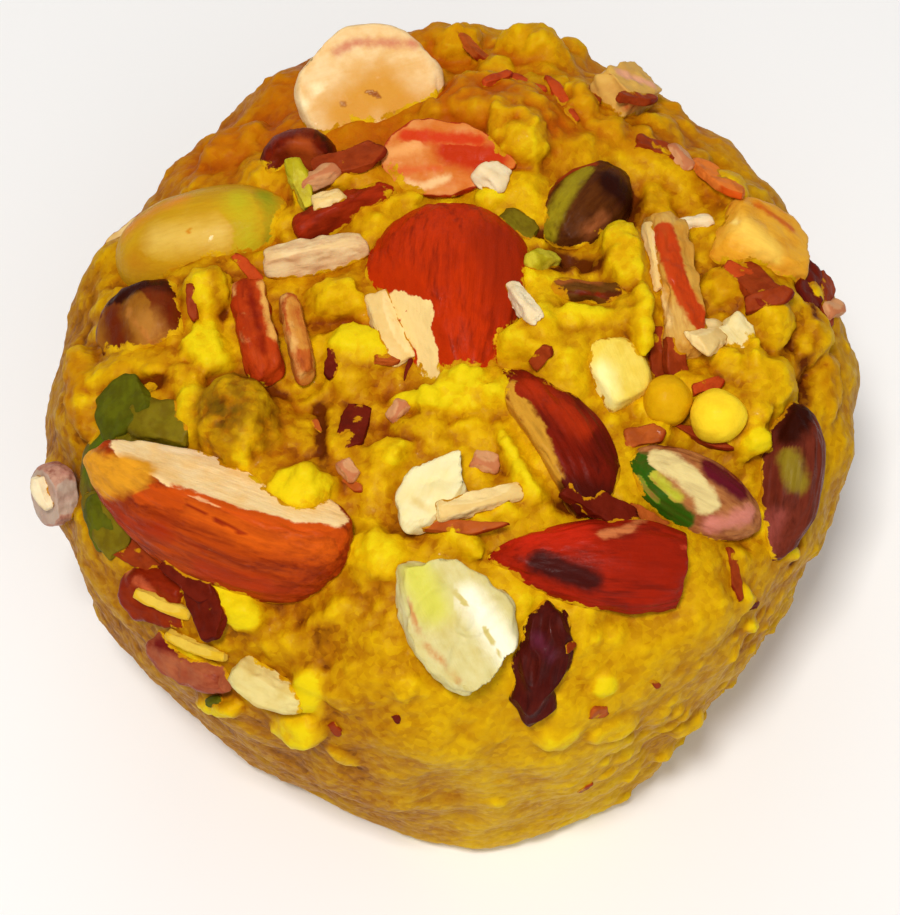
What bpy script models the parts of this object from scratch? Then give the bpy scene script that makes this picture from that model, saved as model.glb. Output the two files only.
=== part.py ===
"""Dry fruit halwa: one moulded serving of golden halwa, studded with almonds, pistachios and cashews.

Run with: blender --background --python part.py
Metres, +Z up. The origin is the middle of the flat base, and the front of the serving faces -Y.
"""

import math
from typing import NamedTuple

import bmesh
import bpy
from mathutils import Matrix, Vector, noise

MM = 0.001

# The mound: a flat base, a wall that flares out to the rim, and a full, low dome above it.
RIM_RADIUS = 32.9 * MM
RIM_HEIGHT = 26.0 * MM
DOME_HEIGHT = 15.5 * MM
BASE_RADIUS = 27.8 * MM
BASE_EDGE = 0.8 * MM  # radius of the rounding where the wall meets the base
DOME_FULLNESS = 2.5  # exponent of the dome's superellipse: 2 is an ellipse, more is fuller
WALL_FLARE = 1.5  # how early the wall reaches the rim's radius on its way up

# Hand moulding leaves both outlines a little out of round: waves round the mound, their share of
# the radius, and the bearing of a crest. A bearing is 0 at the front and 90 on the right.
RIM_LOBES = ((1, 0.008, 270), (2, 0.031, 149), (3, 0.014, 60), (4, 0.023, 97))
BASE_LOBES = ((4, 0.035, 100),)

# A station runs down the mound's profile: 0 at the top, then the rim, the foot and the base's middle.
RIM_STATION = 1.0
FOOT_STATION = 2.0
MIDDLE_STATION = 3.0

# The mound's mesh: how its rings are shared out between dome, wall and underside.
MOUND_SIDES = 41
MOUND_RINGS = 24
DOME_SHARE = 0.46
WALL_SHARE = 0.84

# Unevenness of the halwa: lumps on the dome, and a smoother wall pressed flat by the mould.
LUMP_PITCH = 9.0 * MM
DOME_LUMP = 2.2 * MM
WALL_LUMP = 1.0 * MM
SMOOTH_FOOT = 2.0 * MM  # the wall is even within this height of the base

# A nut's solid, and the gap that the halwa keeps round it.
NUT_SPHERE = (10, 8)
SMALL_SPHERE = (8, 6)
SMALL_PIECE = 9.5  # millimetres long
SOCKET_GAP = 0.35 * MM


class Finish(NamedTuple):
    """Colour and gloss of one material."""

    name: str
    colour: tuple
    roughness: float


HALWA = Finish("halwa", (0.62, 0.36, 0.02, 1.0), 0.45)
ALMOND_SKIN = Finish("almond_skin", (0.40, 0.06, 0.01, 1.0), 0.40)
ALMOND_FLESH = Finish("almond_flesh", (0.80, 0.60, 0.32, 1.0), 0.50)
PISTACHIO = Finish("pistachio", (0.38, 0.36, 0.03, 1.0), 0.45)
CASHEW = Finish("cashew", (0.86, 0.68, 0.32, 1.0), 0.45)
RAISIN = Finish("raisin", (0.09, 0.008, 0.01, 1.0), 0.35)


class Cut(NamedTuple):
    """A knife cut: the way it faces, and its depth from the nut's middle as a share of the size.

    The share is of half the piece's length, width or thickness, whichever the cut faces most.
    """

    x: float
    y: float
    z: float
    share: float


class Form(NamedTuple):
    """How a piece is made from a whole nut: the nut's size as shares of the piece's, and the cuts."""

    tip: float
    blank: tuple
    cuts: tuple


NICKED_ALMOND = Form(0.30, (1, 1, 1), (Cut(0.42, -0.62, 0.66, 0.92),))
SIDE_CUT = Form(0.26, (1, 1, 1), (Cut(0, -1, 0.1, 0.35),))
HALF_ALMOND = Form(0.30, (1, 1, 1.8), (Cut(0, 0, -1, 0.10),))
CUT_ALMOND = Form(0.30, (1, 1, 1.8), (Cut(0, 0, -1, 0.10), Cut(-1, 0.1, 0.1, 0.72)))
WHOLE_PISTACHIO = Form(0.10, (1, 1, 1), ())
PISTACHIO_END = Form(0.05, (1.6, 1, 1), (Cut(1, 0.1, 0.1, 0.90), Cut(-1, 0, 0, 1.0)))
SPLIT_PISTACHIO = Form(0.10, (1, 1, 1.7), (Cut(0, 0.15, -1, 0.25),))
SLIVER = Form(
    0.10,
    (1.25, 1.7, 1.5),
    (Cut(0, 1, 0, 1), Cut(0, -1, 0.15, 1), Cut(0, 0, -1, 1), Cut(1, 0.3, 0, 1), Cut(-1, 0.2, 0, 1)),
)
FLAKE = Form(
    0.05,
    (1.15, 1.2, 2.6),
    (Cut(0, 0, 1, 1), Cut(0.05, 0, -1, 1), Cut(1, 0.5, 0, 1.05), Cut(-0.6, 1, 0, 1.1)),
)
CHUNK = Form(
    0.0,
    (1.35, 1.3, 1.35),
    (Cut(1, 0.2, 0.1, 1), Cut(-1, 0.1, 0.2, 1), Cut(0.15, 0.1, 1, 1), Cut(0.2, -1, 0.2, 1)),
)
BLOCK = Form(
    0.0,
    (1.6, 1.6, 1.6),
    (
        Cut(1, 0.2, 0, 1),
        Cut(-1, 0, 0.1, 1),
        Cut(0.1, 1, 0, 1),
        Cut(0, -1, 0.1, 1),
        Cut(0.1, 0, 1, 1),
        Cut(0, 0, -1, 1),
    ),
)


class Seat(NamedTuple):
    """Where a piece sits: on the mound by bearing and station, its long axis along a plan heading.

    The heading is anticlockwise from +X. Lift is along the mound's outward normal, in millimetres,
    pitch raises the tip and roll turns the piece about its long axis, both in degrees.
    """

    bearing: float
    station: float
    heading: float
    lift: float
    pitch: float = 0.0
    roll: float = 0.0


class Piece(NamedTuple):
    """One nut or part of a nut, with its length, width and thickness in millimetres."""

    name: str
    finish: Finish
    form: Form
    seat: Seat
    size: tuple


PIECES = (
    # On the dome, from the middle outwards.
    Piece("almond_centre", ALMOND_SKIN, NICKED_ALMOND, Seat(-23.5, 0.015, -93, -1.2, -3), (20, 13.2, 7.6)),
    Piece("almond_half_left", ALMOND_SKIN, SIDE_CUT, Seat(-45.7, 0.497, 158, 0.8, 6, -31), (22.5, 13.2, 7.6)),
    Piece("almond_front", ALMOND_SKIN, CUT_ALMOND, Seat(26.5, 0.515, 178, -1.3, 0, 12), (18, 7.2, 4.2)),
    Piece("almond_wedge", ALMOND_SKIN, SIDE_CUT, Seat(28.8, 0.247, 120, -0.7, 0, 180), (13.8, 8.6, 5.2)),
    Piece("almond_half_back", ALMOND_FLESH, HALF_ALMOND, Seat(-177, 0.175, -5, 1.2, 0, 205), (11.2, 6.2, 3.6)),
    Piece("almond_chunk_left", ALMOND_SKIN, CHUNK, Seat(-88, 0.495, -86, -1.5, 0, 20), (7.4, 6.8, 5.6)),
    Piece("almond_sliver_left_a", ALMOND_SKIN, SLIVER, Seat(-79.5, 0.256, -78, -0.7), (9, 3, 2.8)),
    Piece("almond_sliver_left_b", ALMOND_SKIN, SLIVER, Seat(-73, 0.194, -78, -0.7), (7.2, 1.8, 2.6)),
    Piece("almond_sliver_dark", ALMOND_SKIN, SLIVER, Seat(-131.5, 0.195, 26, -0.5), (8.4, 2.2, 3.2)),
    Piece("almond_sliver_pale", ALMOND_FLESH, SLIVER, Seat(-107.5, 0.185, 9, 0.1), (8, 2, 2.4)),
    Piece("almond_slice_right", ALMOND_SKIN, SLIVER, Seat(95, 0.3, -84, -0.8, 0, 8), (12.2, 3.4, 4)),
    Piece("almond_corner_right", ALMOND_FLESH, BLOCK, Seat(82.8, 0.432, -44, -0.4, 0, 8), (3.8, 2.8, 2.8)),
    Piece("almond_chip_front", ALMOND_FLESH, FLAKE, Seat(-5.5, 0.29, -114, 0.2, 6, 14), (7.0, 4.2, 1.9)),
    Piece("cashew_top", CASHEW, FLAKE, Seat(-161, 0.392, 16, 1.1, 0, 42), (10.8, 9.4, 2.6)),
    Piece("cashew_right", CASHEW, CHUNK, Seat(107, 0.535, -7, -1.0), (7.6, 6.6, 5.2)),
    Piece("cashew_bit_right", CASHEW, CHUNK, Seat(60.5, 0.24, -68, -0.9), (5.6, 4.4, 4)),
    Piece("pistachio_left", PISTACHIO, WHOLE_PISTACHIO, Seat(-111.5, 0.45, 4, -1.6), (15.6, 9, 8.2)),
    Piece("pistachio_end_back", PISTACHIO, PISTACHIO_END, Seat(-137, 0.355, -86, -0.2, 28), (4.4, 6.4, 5.8)),
    Piece("pistachio_back_right", PISTACHIO, SPLIT_PISTACHIO, Seat(133, 0.235, 56, -1.8, 0, 30), (10.6, 6.6, 4)),
    Piece("pistachio_slice_centre", PISTACHIO, SLIVER, Seat(88.5, 0.15, -4, -0.9), (7.2, 2.2, 3)),
    Piece("pistachio_front", PISTACHIO, WHOLE_PISTACHIO, Seat(49.6, 0.53, -20, -1.1), (12, 6.2, 6)),
    # On the shoulder and the wall.
    Piece("pistachio_green_left", PISTACHIO, WHOLE_PISTACHIO, Seat(-67.2, 0.56, 43, -1.5), (12.6, 7.2, 4.5)),
    Piece("pistachio_side_right", PISTACHIO, SPLIT_PISTACHIO, Seat(64, 0.725, -75, -0.8, 0, 6), (12.6, 5.6, 4)),
    Piece("cashew_flake_front", CASHEW, FLAKE, Seat(0.5, 0.55, -66, 0.5, 0, -10), (11.2, 6.8, 2.6)),
    Piece("raisin_front", RAISIN, WHOLE_PISTACHIO, Seat(12.5, 0.7, -88, -1.2), (9.6, 4.2, 4)),
    Piece("almond_chunk_low_left", ALMOND_SKIN, CHUNK, Seat(-46.5, 0.835, 4, -1.6), (6.8, 4, 4)),
    Piece("almond_sliver_low_a", ALMOND_FLESH, SLIVER, Seat(-38.5, 0.95, 20, -0.5), (7.2, 2.4, 2.8)),
    Piece("almond_sliver_low_b", ALMOND_FLESH, SLIVER, Seat(-26, 0.86, -44, -0.5), (5.8, 2.4, 2.8)),
    Piece("almond_block_back", ALMOND_FLESH, BLOCK, Seat(148.5, 0.54, 50, 0.4, 0, 16), (5.2, 3.8, 3.6)),
    Piece("almond_chip_edge", ALMOND_SKIN, FLAKE, Seat(-69.5, 0.89, -161, 0.3, 0, -14), (5.6, 3.8, 1.8)),
    # On the side that faces away, spread like those in front.
    Piece("almond_half_far", ALMOND_SKIN, HALF_ALMOND, Seat(172, 1.05, 14, -2.2, 0, 8), (20, 11, 5)),
    Piece("pistachio_far", PISTACHIO, SPLIT_PISTACHIO, Seat(-142, 1.10, -70, -0.9), (13.5, 7.6, 4.4)),
    Piece("cashew_far", CASHEW, CHUNK, Seat(133, 1.12, 20, -1.5), (9.0, 7.0, 5.2)),
    Piece("almond_sliver_far", ALMOND_FLESH, SLIVER, Seat(-116, 0.98, 50, -0.6), (10, 3.0, 3.2)),
)


def clear_scene():
    """Remove whatever the scene holds."""
    for obj in list(bpy.data.objects):
        bpy.data.objects.remove(obj, do_unlink=True)


def new_collection(name):
    collection = bpy.data.collections.new(name)
    bpy.context.scene.collection.children.link(collection)
    return collection


def material_of(finish):
    """The Principled material of a finish, made once."""
    material = bpy.data.materials.get(finish.name)
    if material is None:
        material = bpy.data.materials.new(finish.name)
        material.use_nodes = True
        shader = material.node_tree.nodes["Principled BSDF"]
        shader.inputs["Base Color"].default_value = finish.colour
        shader.inputs["Roughness"].default_value = finish.roughness
        shader.inputs["Metallic"].default_value = 0.0
    return material


def lobed(radius, lobes, bearing):
    """A radius with the waves of a hand-moulded outline."""
    swell = sum(share * math.cos(math.radians(waves * (bearing - crest))) for waves, share, crest in lobes)
    return radius * (1 + swell)


def mound_point(bearing, station):
    """The point of the even mound at a bearing and a station down its profile."""
    rim = lobed(RIM_RADIUS, RIM_LOBES, bearing)
    foot = lobed(BASE_RADIUS, BASE_LOBES, bearing)
    if station <= RIM_STATION:
        climb = math.radians(90 * (RIM_STATION - station))
        reach = rim * max(math.cos(climb), 0.0) ** (2 / DOME_FULLNESS)
        height = RIM_HEIGHT + DOME_HEIGHT * math.sin(climb) ** (2 / DOME_FULLNESS)
    elif station <= FOOT_STATION:
        level = FOOT_STATION - station
        reach = foot + (rim - foot) * (1 - (1 - level) ** WALL_FLARE)
        height = RIM_HEIGHT * level
        below = max(0.0, 1 - height / BASE_EDGE)
        reach -= BASE_EDGE * (1 - math.sqrt(1 - below * below))
    else:
        reach = (foot - BASE_EDGE) * (MIDDLE_STATION - station)
        height = 0.0
    turn = math.radians(bearing)
    return Vector((reach * math.sin(turn), -reach * math.cos(turn), height))


def mound_normal(bearing, station):
    """The outward direction of the mound, from points a little to either side."""
    step = 0.02
    station = max(station, step)
    round_it = mound_point(bearing + 2, station) - mound_point(bearing - 2, station)
    down_it = mound_point(bearing, station + step) - mound_point(bearing, station - step)
    return down_it.cross(round_it).normalized()


def unevenness(point):
    """How far the halwa stands out from the even mound at a point of it."""
    on_dome = min(max((point.z - RIM_HEIGHT) / DOME_HEIGHT, 0.0), 1.0)
    depth = WALL_LUMP + (DOME_LUMP - WALL_LUMP) * on_dome
    fade = min(point.z / SMOOTH_FOOT, 1.0)
    coarse = noise.noise(point / LUMP_PITCH)
    fine = noise.noise(point * 2 / LUMP_PITCH)
    return fade * depth * (coarse + 0.5 * fine)


def mound_mesh():
    """The halwa before the nuts go in, from a sphere whose rings become stations down the profile."""
    bm = bmesh.new()
    bmesh.ops.create_uvsphere(bm, u_segments=MOUND_SIDES, v_segments=MOUND_RINGS, radius=1.0)
    for vertex in bm.verts:
        share = math.acos(max(-1.0, min(1.0, vertex.co.z))) / math.pi
        bearing = math.degrees(math.atan2(vertex.co.x, -vertex.co.y))
        if share <= DOME_SHARE:
            station = RIM_STATION * share / DOME_SHARE
        elif share <= WALL_SHARE:
            descent = (share - DOME_SHARE) / (WALL_SHARE - DOME_SHARE)
            station = RIM_STATION + math.sin(math.radians(90 * descent))  # rings close up at the foot
        else:
            station = FOOT_STATION + (share - WALL_SHARE) / (1 - WALL_SHARE)
        point = mound_point(bearing, station)
        if station < FOOT_STATION:
            point += mound_normal(bearing, station) * unevenness(point)
        point.z = max(point.z, 0.0)
        vertex.co = point
    mesh = bpy.data.meshes.new("halwa")
    bm.to_mesh(mesh)
    bm.free()
    return mesh


def seat_matrix(seat):
    """The place and turn of a piece from its seat on the mound."""
    outward = mound_normal(seat.bearing, seat.station)
    turn = math.radians(seat.heading)
    along = Vector((math.cos(turn), math.sin(turn), 0.0))
    along = (along - outward * along.dot(outward)).normalized()
    across = outward.cross(along)
    basis = Matrix((along, across, outward)).transposed().to_4x4()
    place = mound_point(seat.bearing, seat.station) + outward * seat.lift * MM
    pitch = Matrix.Rotation(math.radians(-seat.pitch), 4, "Y")
    roll = Matrix.Rotation(math.radians(seat.roll), 4, "X")
    return Matrix.Translation(place) @ basis @ pitch @ roll


def nut_mesh(piece, name, margin=0.0):
    """A piece's mesh in its own frame: a nut from a sphere, narrowed to its tip, then cut."""
    halves = [size * MM / 2 for size in piece.size]
    blank = [half * share + margin for half, share in zip(halves, piece.form.blank)]
    bm = bmesh.new()
    sides, rings = NUT_SPHERE if piece.size[0] > SMALL_PIECE else SMALL_SPHERE
    bmesh.ops.create_uvsphere(bm, u_segments=sides, v_segments=rings, radius=1.0)
    for vertex in bm.verts:
        across, up, along = vertex.co
        narrowing = max(1 - along, 0.0) ** piece.form.tip
        vertex.co = Vector((blank[0] * along, blank[1] * across * narrowing, blank[2] * up * narrowing))
    for cut in piece.form.cuts:
        facing = Vector((cut.x, cut.y, cut.z))
        main = max(range(3), key=lambda axis: abs(facing[axis]))
        depth = cut.share * halves[main] + margin
        facing.normalize()
        everything = bm.verts[:] + bm.edges[:] + bm.faces[:]
        bmesh.ops.bisect_plane(
            bm, geom=everything, dist=1e-6, plane_co=facing * depth, plane_no=facing, clear_outer=True
        )
        rim = [edge for edge in bm.edges if edge.is_boundary]
        if rim:
            bmesh.ops.contextual_create(bm, geom=rim)
    bmesh.ops.recalc_face_normals(bm, faces=bm.faces)
    if bm.calc_volume(signed=True) < 0:
        bmesh.ops.reverse_faces(bm, faces=bm.faces)
    mesh = bpy.data.meshes.new(name)
    bm.to_mesh(mesh)
    bm.free()
    return mesh


def add_nut(piece, collection):
    """The nut itself, in its seat."""
    obj = bpy.data.objects.new(piece.name, nut_mesh(piece, piece.name))
    obj.matrix_world = seat_matrix(piece.seat)
    obj.data.materials.append(material_of(piece.finish))
    obj.data.shade_smooth()
    obj.data.set_sharp_from_angle(angle=math.radians(40))
    collection.objects.link(obj)
    return obj


def add_socket_cutter(piece, collection):
    """The hollow that a nut has pressed into the halwa: the nut, a little larger all round."""
    obj = bpy.data.objects.new("socket_" + piece.name, nut_mesh(piece, "socket_" + piece.name, SOCKET_GAP))
    obj.matrix_world = seat_matrix(piece.seat)
    obj.hide_render = True
    obj.display_type = "WIRE"
    collection.objects.link(obj)
    return obj


def add_halwa(collection, hollows):
    """The mound with a socket cut for each nut."""
    obj = bpy.data.objects.new("halwa", mound_mesh())
    obj.data.materials.append(material_of(HALWA))
    obj.data.shade_smooth()
    obj.data.set_sharp_from_angle(angle=math.radians(50))
    collection.objects.link(obj)
    sockets = obj.modifiers.new("sockets", "BOOLEAN")
    sockets.operation = "DIFFERENCE"
    sockets.operand_type = "COLLECTION"
    sockets.collection = hollows
    return obj


def main():
    clear_scene()
    serving = new_collection("dry_fruit_halwa")
    hollows = new_collection("sockets")
    for piece in PIECES:
        add_socket_cutter(piece, hollows)
        add_nut(piece, serving)
    add_halwa(serving, hollows)


main()
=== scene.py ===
"""Dry fruit halwa: the looks of one moulded serving of golden halwa, studded with nuts.

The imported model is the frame. Every solid in it is replaced by a detailed piece in the same place:
the halwa by one crumbly mound, and each nut by a kernel of the same form with its skin and cut faces.
Small crumbs, slivers and scraps are added on top, joined into one mesh for each kind.

Lengths in this file are millimetres, and meshes are written in metres, +Z up, with the front towards -Y.
"""

import logging
import math
from dataclasses import dataclass, field
from enum import Enum
from functools import cache
from typing import Any

import bmesh
import bpy
import numpy as np
from mathutils import Matrix, Vector, noise
from mathutils.bvhtree import BVHTree
from mathutils.kdtree import KDTree


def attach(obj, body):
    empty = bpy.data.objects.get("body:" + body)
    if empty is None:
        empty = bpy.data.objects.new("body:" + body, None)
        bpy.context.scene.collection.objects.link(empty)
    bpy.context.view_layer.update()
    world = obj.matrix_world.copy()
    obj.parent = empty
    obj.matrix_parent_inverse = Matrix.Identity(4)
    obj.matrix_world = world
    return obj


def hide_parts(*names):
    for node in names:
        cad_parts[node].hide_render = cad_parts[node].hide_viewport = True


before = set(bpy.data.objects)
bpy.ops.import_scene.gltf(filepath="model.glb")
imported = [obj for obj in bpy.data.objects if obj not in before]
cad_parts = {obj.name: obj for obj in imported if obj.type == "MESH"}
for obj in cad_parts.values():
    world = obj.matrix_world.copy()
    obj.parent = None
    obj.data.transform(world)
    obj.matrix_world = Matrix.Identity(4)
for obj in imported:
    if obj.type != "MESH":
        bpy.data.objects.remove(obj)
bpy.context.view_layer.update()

log = logging.getLogger("halwa")

MM = 0.001
BODY = "root"
MIDDLE = -0.5
"""What brings a noise from 0 to 1 to its middle."""

Colour = str
"""A colour on the screen: its red, green and blue, two hex digits each."""

Cut = tuple[float, float, float, float]
"""A knife cut: the way it faces, and its depth from the middle as a share of half the size."""

Lobe = tuple[int, float, float]
"""A wave round an outline: how many go round, their share of the radius and a crest's bearing."""

Socket = bpy.types.NodeSocket


# ---------------- numbers and meshes


def paint(colour: Colour) -> tuple[float, float, float, float]:
    """Turn a colour into the linear one that a shader takes.

    Args:
        colour: the colour on the screen.

    Returns:
        The linear red, green and blue from 0 to 1, with an alpha of 1.
    """
    shares = [int(colour[n : n + 2], 16) / 255 for n in (0, 2, 4)]
    linear = [share / 12.92 if share <= 0.04045 else ((share + 0.055) / 1.055) ** 2.4 for share in shares]
    return (*linear, 1.0)


def smooth_step(low: float, high: float, value: np.ndarray) -> np.ndarray:
    """Ease from 0 to 1 as a value goes from low to high."""
    share = np.clip((value - low) / (high - low), 0.0, 1.0)
    return share * share * (3 - 2 * share)


def put_in_scene(thing: bpy.types.Object) -> None:
    """Link an object to the scene."""
    bpy.context.scene.collection.objects.link(thing)


@dataclass
class Grain:
    """Seeded gradient noise and cells in space, read for many points at once."""

    seed: int

    def __post_init__(self) -> None:
        """Shuffle the lattice for the seed."""
        dice = np.random.default_rng(self.seed)
        self.shuffle = np.tile(dice.permutation(256), 2)
        slopes = dice.normal(size=(256, 3))
        self.slopes = slopes / np.linalg.norm(slopes, axis=1, keepdims=True)
        self.middles = dice.uniform(0.1, 0.9, (256, 3))
        self.shades = dice.uniform(-1, 1, 256)

    def hashed(self, cell: np.ndarray) -> np.ndarray:
        """Give each cell of the lattice its number, from 0 to 255."""
        index = cell & 255
        return self.shuffle[self.shuffle[self.shuffle[index[:, 0]] + index[:, 1]] + index[:, 2]]

    def at(self, points: np.ndarray, pitch: float) -> np.ndarray:
        """Read the noise.

        Args:
            points: the places, one row each.
            pitch: the distance between one bump and the next.

        Returns:
            A value for each point, from about -1 to 1.
        """
        places = points / pitch
        cell = np.floor(places).astype(int)
        inside = places - cell
        ease = inside * inside * inside * (inside * (inside * 6 - 15) + 10)
        total = np.zeros(len(points))
        for corner in range(8):
            step = np.array([corner & 1, (corner >> 1) & 1, (corner >> 2) & 1])
            weight = np.prod(np.where(step == 1, ease, 1 - ease), axis=1)
            total += weight * np.einsum("ij,ij->i", self.slopes[self.hashed(cell + step)], inside - step)
        return total * 1.7

    def layers(self, points: np.ndarray, pitch: float, count: int) -> np.ndarray:
        """Add up layers of the noise, each half the pitch and half the strength of the one before."""
        return sum(self.at(points + 31.7 * n, pitch / 2**n) / 2**n for n in range(count)) / 1.5

    def cells(self, points: np.ndarray, pitch: float) -> tuple[np.ndarray, np.ndarray]:
        """Find the nearest of the grains that fill space.

        Args:
            points: the places, one row each.
            pitch: the usual size of a grain.

        Returns:
            The distance to the grain's middle in pitches, and the grain's own shade from -1 to 1.
        """
        places = points / pitch
        cell = np.floor(places).astype(int)
        near, shade = np.full(len(points), 9.0), np.zeros(len(points))
        for step in np.ndindex(3, 3, 3):
            home = cell + np.array(step) - 1
            number = self.hashed(home)
            far = ((places - home - self.middles[number]) ** 2).sum(axis=1)
            shade = np.where(far < near, self.shades[number], shade)
            near = np.minimum(near, far)
        return np.sqrt(near), shade


@dataclass
class Shell:
    """A closed surface of triangles."""

    points: np.ndarray
    faces: np.ndarray

    def normals(self) -> np.ndarray:
        """Work out the outward direction at each point.

        Returns:
            One unit row for each point.
        """
        a, b, c = (self.points[self.faces[:, n]] for n in range(3))
        facing = np.cross(b - a, c - a)
        total = np.zeros_like(self.points)
        for n in range(3):
            for axis in range(3):
                total[:, axis] += np.bincount(self.faces[:, n], facing[:, axis], len(self.points))
        return total / np.maximum(np.linalg.norm(total, axis=1, keepdims=True), 1e-12)

    def relaxed(self, rounds: int) -> np.ndarray:
        """Even out the points over their neighbours.

        Args:
            rounds: how many times each point takes its neighbours' average.

        Returns:
            The evened points.
        """
        edges = np.concatenate([self.faces[:, [0, 1]], self.faces[:, [1, 2]], self.faces[:, [2, 0]]])
        count = np.bincount(edges.ravel(), minlength=len(self.points))
        values = self.points
        for _ in range(rounds):
            total = np.zeros_like(values)
            for axis in range(3):
                total[:, axis] += np.bincount(edges[:, 0], values[edges[:, 1], axis], len(values))
                total[:, axis] += np.bincount(edges[:, 1], values[edges[:, 0], axis], len(values))
            values = total / np.maximum(count, 1)[:, None]
        return values

    def sunk(self, rounds: int) -> np.ndarray:
        """Say how far each point lies below the surface evened out by some rounds."""
        return np.einsum("ij,ij->i", self.relaxed(rounds) - self.points, self.normals())

    def tree(self) -> BVHTree:
        """Give a search tree of the surface."""
        return BVHTree.FromPolygons(self.points.tolist(), self.faces.tolist())

    def gap_to(self, surface: BVHTree, most: float = 6.0) -> np.ndarray:
        """Say how far each point is from a surface, up to the most that counts."""
        return np.array([min(surface.find_nearest(point)[3], most) for point in self.points.tolist()])

    def mesh(self, name: str) -> bpy.types.Mesh:
        """Write the shell as a mesh in metres.

        Args:
            name: the mesh's name.

        Returns:
            The new mesh.
        """
        mesh = bpy.data.meshes.new(name)
        mesh.vertices.add(len(self.points))
        mesh.vertices.foreach_set("co", (self.points * MM).astype(np.float32).ravel())
        mesh.loops.add(self.faces.size)
        mesh.loops.foreach_set("vertex_index", self.faces.astype(np.int32).ravel())
        mesh.polygons.add(len(self.faces))
        mesh.polygons.foreach_set("loop_start", np.arange(0, self.faces.size, 3, dtype=np.int32))
        mesh.update(calc_edges=True)
        mesh.validate()
        mesh.shade_smooth()
        return mesh

    def dress(
        self, name: str, slot: str, material: bpy.types.Material, node: str = "", **values: np.ndarray
    ) -> None:
        """Make the shell a piece of the scene and tie it to the frame.

        Args:
            name: the piece's name.
            slot: its material slot in the frame; not used.
            material: its material.
            node: the frame's solid that it replaces, if any.
            values: what the material reads: a number, a row of three or a colour for each point.
        """
        kinds = {1: ("FLOAT", "value"), 3: ("FLOAT_VECTOR", "vector"), 4: ("FLOAT_COLOR", "color")}
        mesh = self.mesh(name)
        for key, rows in values.items():
            kind, holder = kinds[1 if rows.ndim == 1 else rows.shape[1]]
            mesh.attributes.new(key, kind, "POINT").data.foreach_set(holder, rows.astype(np.float32).ravel())
        mesh.materials.append(material)
        piece = bpy.data.objects.new(name, mesh)
        put_in_scene(piece)
        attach(piece, BODY)
        if node:
            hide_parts(node)
        log.info("%s: %d triangles", name, len(self.faces))


def shell_of(mesh: bpy.types.Mesh) -> Shell:
    """Read a mesh in metres back as a shell.

    Args:
        mesh: the mesh.

    Returns:
        Its points and triangles.
    """
    points = np.zeros(len(mesh.vertices) * 3, np.float32)
    mesh.vertices.foreach_get("co", points)
    mesh.calc_loop_triangles()
    faces = np.zeros(len(mesh.loop_triangles) * 3, np.int32)
    mesh.loop_triangles.foreach_get("vertices", faces)
    return Shell(points.reshape(-1, 3).astype(float) / MM, faces.reshape(-1, 3))


def joined(shells: list[Shell]) -> Shell:
    """Put shells together as one.

    Args:
        shells: the shells to join, in order.

    Returns:
        One shell that holds them all.
    """
    starts = np.cumsum([0] + [len(shell.points) for shell in shells[:-1]])
    faces = [shell.faces + start for shell, start in zip(shells, starts)]
    return Shell(np.concatenate([shell.points for shell in shells]), np.concatenate(faces))


@cache
def ball(steps: int) -> Shell:
    """Give a ball of radius 1 made of even triangles, built once for each fineness.

    Args:
        steps: how often the triangles have been divided, from 1 for 20 of them.

    Returns:
        The ball.
    """
    bm = bmesh.new()
    bmesh.ops.create_icosphere(bm, subdivisions=steps, radius=1.0)
    points = np.array([vertex.co[:] for vertex in bm.verts])
    faces = np.array([[vertex.index for vertex in face.verts] for face in bm.faces])
    bm.free()
    return Shell(points, faces)


# ---------------- shape of the mound


@dataclass(frozen=True)
class Seat:
    """Where a piece sits: on the mound by bearing and station, its long axis along a plan heading.

    A bearing is 0 at the front and 90 on the right. A station runs down the mound's profile: 0 at the
    top, 1 at the rim and 2 at the foot. The heading is anticlockwise from +X. Lift is along the outward
    normal, pitch raises the tip, and roll turns the piece about its long axis.
    """

    bearing: float
    station: float
    heading: float
    lift: float = 0.0
    pitch: float = 0.0
    roll: float = 0.0


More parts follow.
